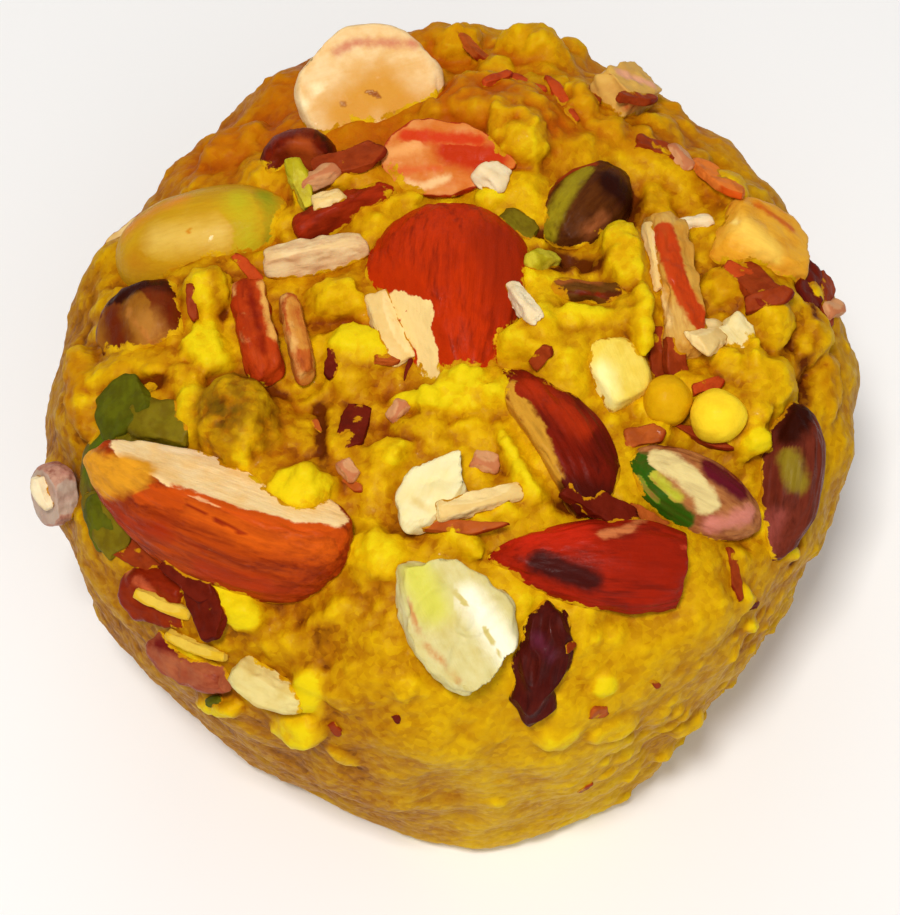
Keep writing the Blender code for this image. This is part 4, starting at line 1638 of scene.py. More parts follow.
NUTS = (
    Nut("almond_centre", "almond_skin", Forms.NICKED_ALMOND, (20, 13.2, 7.6), Carving.SKINNED,
        Seat(-23.5, 0.015, -93, -1.2, -3), KernelFinish("be3006", "a62606", "bc3006", "aa2806"), (
        Mark("f2d28a", 1.07, 0, (-6.3, -1.4, 40.1, -4.6, -1.6, 41.8, -2.5, -3.2, 42.8)),
        Mark("f2d28a", 1.07, 0, (-3.4, -3.3, 41.8, -2.3, -5.3, 41.6, -2, -7.4, 40.5)),
        # Painted shade on the right side.
        Mark("9c2608", 2.46, 1.5, (3.4, 2.9, 43.5, 4.5, -1.6, 42.4)),
        )),
    Nut("almond_half_left", "almond_skin", Forms.SIDE_CUT, (22.5, 13.2, 7.6), Carving.SKINNED,
        Seat(-45.7, 0.497, 158, 0.8, 6, -31),
        KernelFinish("b2420c", "9e320a", "fadaa0", "f4c478", "681606", 0.5), (
        Mark("ce500e", 0.9, 0.1, (-23.9, -17.9, 40.3, -19.9, -19.4, 41.7, -16.1, -21.1, 42, -11.6, -22,
            42.1, -8.8, -22.2, 40.7)),
        Mark("e29a22", 1.6, 0.5, (-28.8, -14.2, 38.4, -26.9, -15.9, 39.1, -24.2, -16.6, 41.2)),
        Mark("f6d8a8", 0.49, 0.4, (-22.3, -13.4, 39.4, -18.5, -13.8, 38.9, -14.8, -15.3, 39)),
        Mark("d85c10", 0.98, 0.8, (-19.6, -20, 41.5, -15.4, -22.2, 41.3, -9.8, -22.8, 40.6)),
        Mark("a42c0a", 0.9, 0.8, (-26.4, -17.3, 36.4, -22, -20.3, 38.8)),
        Mark("962608", 0.2, 0.2, (-19.9, -19.7, 41.4, -16.1, -21.9, 41.3, -12.4, -22.9, 41, -8.8, -22.7,
            39.8)),
        Mark("962608", 0.2, 0.2, (-23.2, -19.3, 39.2, -18.9, -22, 39.1, -14.5, -23.6, 39.1, -9.4, -23.8,
            38.5)),
        Mark("aa340e", 1.07, 0.6, (-19, -22.9, 37.3, -14.6, -24.3, 37.7, -9.8, -23, 35.8)),
        Mark("eaa050", 0.29, 0.1, (-18.3, -22.1, 39.4)),
        )),
    Nut("almond_front", "almond_skin", Forms.CUT_ALMOND, (18, 7.2, 4.2), Carving.SKINNED,
        Seat(26.5, 0.515, 178, -1.3, 0, 12),
        KernelFinish("a0200a", "8a1a08", "942a10", "781c0a", "561208"), (
        Mark("c4260e", 1.39, 1, (5.6, -21.2, 39.4, 9, -21, 39.8)),
        Mark("40120e", 0.98, 0.4, (6.3, -23.3, 39.4, 10.1, -24.5, 38.8)),
        Mark("ce7642", 0.45, 0.2, (11, -21.3, 39.8, 13, -20.6, 39.4, 14, -19.3, 38.3)),
        Mark("961e0a", 1.8, 1.2, (14.6, -22.9, 39, 17.4, -23, 37.4)),
        Mark("ce4628", 0.2, 0.2, (13.9, -21.8, 39.4, 17.4, -21.2, 37.9)),
        )),
    Nut("almond_wedge", "almond_skin", Forms.SIDE_CUT, (13.8, 8.6, 5.2), Carving.SKINNED,
        Seat(28.8, 0.247, 120, -0.7, 0, 180),
        # The dark skin colours are partly the almond's own and partly painted shade.
        KernelFinish("761808", "581207", "cc922e", "be7c1e", "3c0c06"), (
        Mark("ce942c", 0.74, 0.15, (4.3, -9.4, 41.9, 6.1, -13.6, 42.2, 7.9, -17.7, 40.9)),
        Mark("481007", 1.8, 0.9, (8.9, -18.5, 40.4, 11.6, -16.6, 38.1)),
        Mark("a82c0c", 1.07, 0.8, (5.5, -9.5, 42.1, 9.4, -13, 41.9)),
        Mark("581207", 0.82, 0.8, (11, -13.7, 41.2, 12.1, -16.3, 39.6)),
        )),
    Nut("almond_half_back", "almond_flesh", Forms.HALF_ALMOND, (11.2, 6.2, 3.6), Carving.CHIPPED,
        Seat(-177, 0.175, -5, 1.2, 0, 205), KernelFinish("b2320e", flesh="d07028", flesh_deep="e09654"), (
        Mark("ecbe82", 0.35, 0.2, (-5.6, 11.4, 41, -3.1, 9.9, 41.5, -0.7, 10.6, 41.8)),
        Mark("be3412", 1.31, 0.5, (-0.4, 12.8, 42.6, 2.8, 11.9, 42.5)),
        Mark("cc3c16", 0.53, 0.3, (-4.2, 14, 42.9, 1.8, 13.5, 43)),
        Mark("d6602c", 0.25, 0.3, (-5.2, 11.2, 41.8, -1.4, 11.4, 42.1)),
        Mark("e8a05a", 0.57, 0.4, (-5.2, 12.7, 42.4, -3.4, 13.1, 42.6)),
        )),
    Nut("almond_chunk_left", "almond_skin", Forms.CHUNK, (7.4, 6.8, 5.6), Carving.CHIPPED,
        Seat(-88, 0.495, -86, -1.5, 0, 20), KernelFinish("702c0a", "5c1e08", "9c6218", "7a3e0e"), (
        Mark("320c02", 0.9, 0.4, (-27.3, 1.1, 38.3, -25, 1.5, 39.6, -22, 1, 39.2)),
        Mark("b0742c", 1.07, 0.8, (-24.3, -2.2, 40.1, -22.9, -3.9, 39)),
        Mark("682408", 1.15, 0.8, (-27.3, -0.3, 38, -26.3, -3.7, 38.3)),
        Mark("be7832", 0.29, 0.3, (-25.7, -0.7, 39.2, -24.1, -3.7, 39.8, -23.3, -4.2, 38)),
        )),
    Nut("almond_sliver_left_a", "almond_skin", Forms.SLIVER, (9, 3, 2.8), Carving.CHIPPED,
        Seat(-79.5, 0.256, -78, -0.7), KernelFinish("ac340a", "be4614", "b83e10", "96280a"), (
        Mark("dea24e", 0.49, 0.15, (-15.1, 0.8, 41, -14.2, -3.9, 41.5, -14.1, -5.6, 38.6)),
        Mark("e2aa60", 0.25, 0.15, (-17.5, 0.8, 40.8, -16.3, -4.7, 41.3)),
        Mark("841e08", 0.33, 0.3, (-16.2, 0.3, 41.4, -15, -5.7, 41.4)),
        )),
    Nut("almond_sliver_left_b", "almond_skin", Forms.SLIVER, (7.2, 1.8, 2.6), Carving.CHIPPED,
        Seat(-73, 0.194, -78, -0.7), KernelFinish("be6022", "b03e14", "ce8a36", "ac3c12"), (
        Mark("e2aa5c", 0.29, 0.15, (-13.5, -0.8, 41.4, -12.7, -5, 41.7, -11.9, -7.6, 40.7)),
        )),
    Nut("almond_sliver_dark", "almond_skin", Forms.SLIVER, (8.4, 2.2, 3.2), Carving.CHIPPED,
        Seat(-131.5, 0.195, 26, -0.5), KernelFinish("a02c0c", "781c08", "982c0e", "6e1a08")),
    Nut("almond_sliver_pale", "almond_flesh", Forms.SLIVER, (8, 2, 2.4), Carving.CHIPPED,
        Seat(-107.5, 0.185, 9, 0.1), KernelFinish("e6c488", "f0d6a0", "eed29c", "d6a06e", "c48860")),
    Nut("almond_slice_right", "almond_skin", Forms.SLIVER, (12.2, 3.4, 4), Carving.CHIPPED,
        Seat(95, 0.3, -84, -0.8, 0, 8), KernelFinish("ce983c", "dcb460", "d4a042", "c68228", "aa5a1e"), (
        Mark("be3e12", 0.98, 0.1, (16.3, 5.4, 41.8, 17.2, 1.6, 42.3, 18.2, -1.1, 41.8, 19.2, -2.8, 40.8)),
        Mark("92280e", 0.82, 0.3, (15.7, -2.1, 38.2, 17.4, -3.2, 37.3)),
        Mark("f4ce82", 0.37, 0.3, (15.5, 5.5, 41.1, 16, 0.4, 40.9, 16.5, -2.8, 41.1)),
        )),
    Nut("almond_corner_right", "almond_flesh", Forms.BLOCK, (3.8, 2.8, 2.8), Carving.CHIPPED,
        Seat(82.8, 0.432, -44, -0.4, 0, 8), KernelFinish("e4ce90", "f0e2b0", "ecdaa0", "dcbe6e"),
            nicks=((0.8, 0.8, 0, 0.5),)),
    Nut("almond_chip_front", "almond_flesh", Forms.FLAKE, (7, 4.2, 1.9), Carving.LAYERED,
        Seat(-5.5, 0.29, -114, 0.2, 6, 14), KernelFinish("e8daa4", "f0e6ba", "eee2ae", "f0dc96", "d4b260"),
            (
        Mark("e2c882", 0.25, 0.3, (-3.1, -19, 41.1, -1.8, -20.2, 41.4)),
        ), nicks=((-0.7, -0.8, 0, 0.7),)),
    Nut("cashew_top", "cashew", Forms.FLAKE, (10.8, 9.4, 2.6), Carving.SMOOTH,
        Seat(-161, 0.392, 16, 1.1, 0, 42),
        KernelFinish("f0ce96", "e8b468", "f0ce96", "e2aa5a", "d6a050", 0.1), (
        Mark("d69638", 2.05, 1.4, (-9.1, 18.1, 40.6, -6.3, 20.1, 41.3, -4.8, 18.8, 40.6)),
        Mark("964e14", 0.2, 0.15, (-7.3, 19.8, 41.2, -6.4, 19.5, 41)),
        Mark("a05a18", 0.25, 0.2, (-9.3, 18.7, 40.9)), Mark("a05a18", 0.25, 0.2, (-7.8, 17, 40)),
        Mark("a05a18", 0.29, 0.2, (-4.8, 18.2, 40.3)),
        Mark("ce7c5c", 0.29, 0.4, (-9.9, 22.6, 42.8, -8.4, 23.5, 43, -3.5, 23.6, 42.7)),
        # Two painted highlights.
        Mark("fce8b4", 0.45, 0.5, (-11.4, 19.8, 41.6)), Mark("fce8b4", 0.45, 0.5, (-12.6, 18.6, 41.1)),
        )),
    Nut("cashew_right", "cashew", Forms.CHUNK, (7.6, 6.6, 5.2), Carving.CHIPPED,
        Seat(107, 0.535, -7, -1), KernelFinish("e6a428", "dc8c1e", "eaac32", "d88c1e", "c46e14", 0.1), (
        Mark("f6c854", 1.07, 0.9, (23, 7.1, 40, 25.2, 5.3, 39.3)),
        Mark("d26412", 0.45, 0.3, (21.8, 10.2, 37.9, 24.5, 10.2, 38.7, 26.9, 8.8, 37.5)),
        # Two painted highlights.
        Mark("fcdc78", 0.37, 0.4, (22.3, 7.8, 39.9)), Mark("fcd65a", 0.37, 0.4, (25.6, 4.8, 38.5)),
        )),
    Nut("cashew_bit_right", "cashew", Forms.CHUNK, (5.6, 4.4, 4), Carving.SMOOTH,
        Seat(60.5, 0.24, -68, -0.9), KernelFinish("f0d454", "e6be32", "f0d660", "e2be3c", "d6aa28", 0.1), (
        # A painted highlight.
        Mark("fcf0a0", 0.98, 0.8, (11.1, -8.1, 41.8, 11.5, -9.4, 40.8)),
        )),
    Nut("pistachio_left", "pistachio", Forms.WHOLE_PISTACHIO, (15.6, 9, 8.2), Carving.SMOOTH,
        Seat(-111.5, 0.45, 4, -1.6), KernelFinish("c89816", "bc8610", streak="b2760e", streak_cover=0.1), (
        Mark("de8a24", 0.74, 0.8, (-26.3, 8.1, 37.9, -22.2, 9.5, 39.9)),
        # A painted highlight.
        Mark("deb854", 1.07, 1.2, (-23.7, 6, 39.6, -19, 5.9, 40.6)),
        Mark("92941a", 0.9, 0.7, (-15.4, 9.3, 40.8, -14.8, 6.1, 39.3)),
        Mark("beb01c", 1.07, 1.2, (-17.5, 8.8, 41.2, -16.5, 5.4, 39.8)),
        # Painted shade along the lower edge.
        Mark("be7c14", 0.57, 0.8, (-25.7, 5.2, 37.7, -20.5, 3.8, 38.3, -17.3, 4.5, 38.7)),
        Mark("ce781a", 0.25, 0.2, (-21.3, 6.2, 40.6)),
        )),
    Nut("pistachio_end_back", "pistachio", Forms.PISTACHIO_END, (4.4, 6.4, 5.8), Carving.SKINNED,
        Seat(-137, 0.355, -86, -0.2, 28), KernelFinish("741c06", "541004", "7a280c", "541206", "3c0a04"), (
        Mark("a24416", 0.98, 0.4, (-12.6, 13.5, 41.9, -12.3, 12.8, 41.2)),
        Mark("2e0804", 0.45, 0.3, (-10.9, 15.2, 41.2, -10.4, 13.1, 41)),
        Mark("c4602e", 0.29, 0.3, (-13, 12.8, 41.2, -12.2, 12.5, 41)),
        ), bites=((3.3, 0, 0, 2.3),)),
    Nut("pistachio_back_right", "pistachio", Forms.SPLIT_PISTACHIO, (10.6, 6.6, 4), Carving.SKINNED,
        # The dark skin and cut colours are partly the nut's own and partly painted shade.
        Seat(133, 0.235, 56, -1.8, 0, 30), KernelFinish("582c0c", "461c08", "603c0e", streak="321006"), (
        Mark("968414", 0.82, 0.35, (10.2, 11.5, 41.4, 8.4, 8.2, 41.9, 7.3, 6.1, 40.7)),
        Mark("9c3214", 0.61, 0.2, (10.8, 12.4, 40.9, 9.2, 11.8, 40.9, 7.1, 8.7, 40.8)),
        # Painted shadow in the cavity beside the nut.
        Mark("2c0c04", 1.3, 0.5, (12.3, 10.3, 41.5, 13.8, 9.9, 39.7)),
        Mark("96542c", 0.6, 0.5, (10.4, 6.1, 41, 11.6, 7.2, 41)),
        )),
    Nut("pistachio_slice_centre", "pistachio", Forms.SLIVER, (7.2, 2.2, 3), Carving.CHIPPED,
        Seat(88.5, 0.15, -4, -0.9), KernelFinish("54280a", flesh="683e10", flesh_deep="462008"), (
        Mark("9c5422", 0.49, 0.3, (8.1, 0.4, 42.2, 10, 0.8, 41.5, 11.1, 0.8, 41.8)),
        )),
    Nut("pistachio_front", "pistachio", Forms.WHOLE_PISTACHIO, (12, 6.2, 6), Carving.SKINNED,
        Seat(49.6, 0.53, -20, -1.1), KernelFinish("b0703c", "823222", streak="6e281a"), (
        Mark("2c580a", 1.39, 0.15, (13.6, -14.9, 39.5, 14.6, -16.8, 39, 16.8, -18.2, 37.3)),
        # A painted highlight.
        Mark("609216", 0.33, 0.4, (14, -15.9, 39.3, 15.4, -17.3, 38.5)),
        Mark("e2cc88", 0.98, 0.2, (15.6, -14.6, 40.1, 17.5, -15.8, 39.8, 19.2, -17.4, 38.4)),
        Mark("baba32", 0.41, 0.3, (15.1, -16, 39.8, 16.9, -17.5, 39)),
        Mark("621422", 1.15, 0.3, (19.6, -14.9, 38.9, 21.7, -15.6, 37.4)),
        Mark("d2806c", 0.82, 0.4, (19.6, -18.4, 36.8, 22.3, -17.3, 36.3)),
        Mark("782814", 0.41, 0.2, (16, -13, 39.3, 19.2, -13.1, 37.9, 21.6, -14.8, 37.1)),
        Mark("1e2808", 0.33, 0.3, (16.8, -18.1, 35.9, 18.3, -18.5, 35.7)),
        )),
    Nut("pistachio_green_left", "pistachio", Forms.WHOLE_PISTACHIO, (12.6, 7.2, 4.5), Carving.SKINNED,
        Seat(-67.2, 0.56, 43, -1.5), KernelFinish("70620e", "624c0e", streak="4a3a0a"), (
        Mark("54640e", 1.07, 0.6, (-24.6, -8.6, 38.2, -27.5, -9.9, 36.4, -28.4, -12.8, 35.1)),
        Mark("846016", 0.66, 0.6, (-23.7, -9.7, 38.4, -22.9, -11.1, 38)),
        # Painted shadow at the top, under the almond's end.
        Mark("1e2804", 0.41, 0.5, (-25.6, -7.8, 37.4, -23.2, -8.7, 38.6)),
        )),
    Nut("pistachio_side_right", "pistachio", Forms.SPLIT_PISTACHIO, (12.6, 5.6, 4), Carving.SKINNED,
        Seat(64, 0.725, -75, -0.8, 0, 6), KernelFinish("702c1c", "602216", "826414", streak="3a1208"), (
        Mark("8a741a", 0.9, 0.4, (25.9, -12.4, 36.5, 26.4, -14.1, 35.9)),
        Mark("300c04", 1.15, 0.5, (27.1, -8.3, 36.8, 26, -10.4, 36.9)),
        Mark("9c4c42", 0.66, 0.6, (24.9, -16.1, 34, 24.2, -17.5, 31.8)),
        )),
    Nut("cashew_flake_front", "cashew", Forms.FLAKE, (11.2, 6.8, 2.6), Carving.LAYERED,
        Seat(0.5, 0.55, -66, 0.5, 0, -10), KernelFinish("d4c88a", "ded6a4", "d8cc8e", "cab668", "c4ae5a"), (
        Mark("d4ce54", 1.31, 1, (-3, -24.9, 40.6, -1.7, -27.1, 39.3)),
        Mark("faf4d6", 1.07, 0.8, (1.1, -26.4, 39.1, 3.9, -29.7, 37)),
        Mark("c88a4c", 0.2, 0.25, (-3.6, -26.8, 39.8, -2.3, -29.5, 38.3, 0.4, -32, 36.6)),
        Mark("ceba68", 0.2, 0.2, (0, -26, 39.5, 1.8, -27.8, 38.3, 3.3, -29.9, 37.1)),
        ), nicks=((1, 0.35, 0, 0.86), (-1, 0.3, 0, 0.84),)),
    Nut("raisin_front", "raisin", Forms.WHOLE_PISTACHIO, (9.6, 4.2, 4), Carving.WRINKLED,
        Seat(12.5, 0.7, -88, -1.2), KernelFinish("4c140e", "601e12", streak="2c0a08"), (
        Mark("b03e18", 0.49, 0.15, (5.9, -25.5, 35.5, 5.5, -25.8, 35.1)),
        # A painted highlight.
        Mark("602232", 0.45, 0.5, (6.2, -28.2, 36.2, 7.1, -29.2, 35.4)),
        )),
    Nut("almond_chunk_low_left", "almond_skin", Forms.CHUNK, (6.8, 4, 4), Carving.CHIPPED,
        Seat(-46.5, 0.835, 4, -1.6), KernelFinish("8c260a", "741c08", "902e0c", "6e1a08"), (
        Mark("460c04", 1.15, 0.6, (-21.4, -19.6, 31.6, -19.7, -22.1, 32.4)),
        Mark("d87c4a", 0.41, 0.3, (-25.2, -19.9, 31.7, -23.7, -19.5, 32)),
        Mark("ce643c", 0.33, 0.3, (-24.5, -21.3, 32.5, -23.5, -22.3, 32.6)),
        )),
    Nut("almond_sliver_low_a", "almond_flesh", Forms.SLIVER, (7.2, 2.4, 2.8), Carving.CHIPPED,
        Seat(-38.5, 0.95, 20, -0.5), KernelFinish("a05032", "963828", "ac603c", "8c3824"), (
        Mark("dab074", 0.33, 0.1, (-22.5, -23.6, 28.7, -18.6, -25.5, 29.3)),
        Mark("701e1a", 0.57, 0.3, (-23.1, -24.6, 28.8, -20.4, -26, 29.2)),
        )),
    Nut("almond_sliver_low_b", "almond_flesh", Forms.SLIVER, (5.8, 2.4, 2.8), Carving.CHIPPED,
        Seat(-26, 0.86, -44, -0.5), KernelFinish("dac87c", "e6d48c", "e0cc84", "ceb05a", "c49c50")),
    Nut("almond_block_back", "almond_flesh", Forms.BLOCK, (5.2, 3.8, 3.6), Carving.CHIPPED,
        Seat(148.5, 0.54, 50, 0.4, 0, 16), KernelFinish("d6a64a", "cc8c50", "d8aa52", "cc9246"), (
        Mark("e4a47e", 0.49, 0.2, (13.5, 23, 39.9, 16.1, 23, 38.1)),
        Mark("aa501e", 0.33, 0.3, (13.9, 19.9, 39.2, 16.2, 22.3, 37.1)),
        )),
    Nut("almond_chip_edge", "almond_skin", Forms.FLAKE, (5.6, 3.8, 1.8), Carving.CHIPPED,
        Seat(-69.5, 0.89, -161, 0.3, 0, -14), KernelFinish("c0927a", "ac6c5c", "c0a894", "b08a7a")),
    Nut("almond_half_far", "almond_skin", Forms.HALF_ALMOND, (20, 11, 5), Carving.SKINNED,
        Seat(172, 1.05, 14, -2.2, 0, 8), KernelFinish()),
    Nut("pistachio_far", "pistachio", Forms.SPLIT_PISTACHIO, (13.5, 7.6, 4.4), Carving.SKINNED,
        Seat(-142, 1.1, -70, -0.9), KernelFinish("96781a", "782e1a", "968c28", streak="562010")),
    Nut("cashew_far", "cashew", Forms.CHUNK, (9, 7, 5.2), Carving.SMOOTH,
        Seat(133, 1.12, 20, -1.5), KernelFinish("eabe78", "d8963c", "eeca8c", streak="b4641e")),
    Nut("almond_sliver_far", "almond_flesh", Forms.SLIVER, (10, 3, 3.2), Carving.CHIPPED,
        Seat(-116, 0.98, 50, -0.6), KernelFinish("b43c10", flesh="eed08c")),
)


# ---------------- the small pieces


class Tint(Enum):
    """The colours of the small pieces, on their outside and where they are cut."""

    PEARL = ("daa408", "daa408")
    BRIGHT_PEARL = ("fad428", "fad428")
    STRAW = ("deb228", "e2be46")
    MAROON = ("541008", "681a0a")
    DARK_RED = ("80240c", "963812")
    RED = ("a4260a", "be4618")
    RUST = ("96320c", "b0541c")
    ORANGE = ("d05412", "dc782c")
    WHITE = ("ecd6aa", "f2e2ba")
    CREAM = ("e6c47c", "f0d492")
    PINKISH = ("c0784e", "d29868")
    OLIVE = ("70600c", "786810")
    LIME = ("b6a81a", "c8ba2e")
    GREEN = ("54580a", "5c5e0c")


@dataclass(frozen=True)
class Bit:
    """A small piece: where it lies on the mound, its length and width, its colours and its thickness."""

    bearing: float
    station: float
    heading: float
    length: float
    width: float
    tint: Tint
    thick: float = 0.7


@dataclass(frozen=True)
class BitFinish:
    """The gloss of the small pieces of one kind, and how strongly they are mottled."""

    mottle: float = 0.5
    smear_amount: float = 0.0
    shade: tuple[float, float, float] = (0.62, 0.50, 0.45)
    moist: float = 0.28
    dry: float = 0.55

    def material(self, name: str) -> bpy.types.Material:
        """Build the material, which reads each piece's colour from the mesh.

        Args:
            name: the material's name.

        Returns:
            The material.
        """
        bench = Dressing(name)
        place = bench.read("kernel", "Vector")
        tint = bench.read("tint", "Color")
        patches = Mottling.on(bench, place, pitch=1.1, coverage=0.45, softness=0.14)["Mask"]
        colour = bench.blend(bench.plus(0.0, patches, self.mottle), tint, bench.scaled(tint, self.shade))
        smear = HalwaSmear.on(bench, place, bed=bench.read("bed"), reach=0.16, amount=self.smear_amount)
        colour = bench.blend(smear["Mask"], colour, paint(KernelFinish.smear))
        rough = GheeFilm.on(bench, place, pitch=0.9, moist=self.moist, dry=self.dry)["Roughness"]
        return bench.food(place, colour, rough, bench.noise(place, 2.6, 4.0, 0.6), (0.45, 0.10), 0.6)


@dataclass(frozen=True)
class BitSet:
    """All the small pieces of one kind, joined into one mesh and pressed into what carries them.

    The surface is felt from some way above a piece, at its middle and at a share of its length from it.
    """

    name: str
    slot: str
    form: Forms
    carving: Carving
    rise: float
    finish: BitFinish
    bits: tuple[Bit, ...]
    above: float = 9.0
    ends: float = 0.38
    first_seed: int = 60
    seed_step: int = 7

    def placing(self, bit: Bit, surface: BVHTree) -> np.ndarray:
        """Find how a piece lies, by feeling for the surface under its ends and its middle.

        Args:
            bit: the small piece.
            surface: the mound and the nuts.

        Returns:
            The matrix from the piece's own millimetres to the mound's.
        """
        seat = MOUND.seat_frame(Seat(bit.bearing, bit.station, bit.heading))
        outward = seat.col[2].to_3d()
        heights = []
        for share in (-self.ends, 0.0, self.ends):
            start = seat @ Vector((share * bit.length, 0, self.above))
            fall = surface.ray_cast(start, -outward, 2 * self.above)[3] or self.above
            heights.append(self.above - fall)
        tilt = math.atan2(heights[2] - heights[0], 2 * self.ends * bit.length)
        level = max(heights[1], (heights[0] + heights[2]) / 2) + self.rise * bit.thick
        return np.array(seat @ Matrix.Translation((0, 0, level)) @ Matrix.Rotation(-tilt, 4, "Y"))

    def build(self, surface: BVHTree) -> None:
        """Build the small pieces and dress them.

        Args:
            surface: the mound and the nuts.
        """
        shells, tints, kernels = [], [], []
        for n, bit in enumerate(self.bits):
            size = (bit.length, bit.width, bit.thick)
            morsel = Morsel(self.form, size, self.carving, self.first_seed + self.seed_step * n)
            shell, rind = morsel.shell(np.zeros(3), np.array(size) / 2, 5 if bit.length > FINE_BIT else 4)
            kernels.append(shell.points + BIT_SHIFT * n)
            outside, cut = (np.array(paint(colour)) for colour in bit.tint.value)
            tints.append(np.where(rind[:, None] > 0, outside, cut))
            placing = self.placing(bit, surface)
            shells.append(Shell(shell.points @ placing[:3, :3].T + placing[:3, 3], shell.faces))
        whole = joined(shells)
        whole.dress(
            self.name,
            self.slot,
            self.finish.material(self.name),
            kernel=np.concatenate(kernels),
            tint=np.concatenate(tints),
            bed=whole.gap_to(surface),
        )


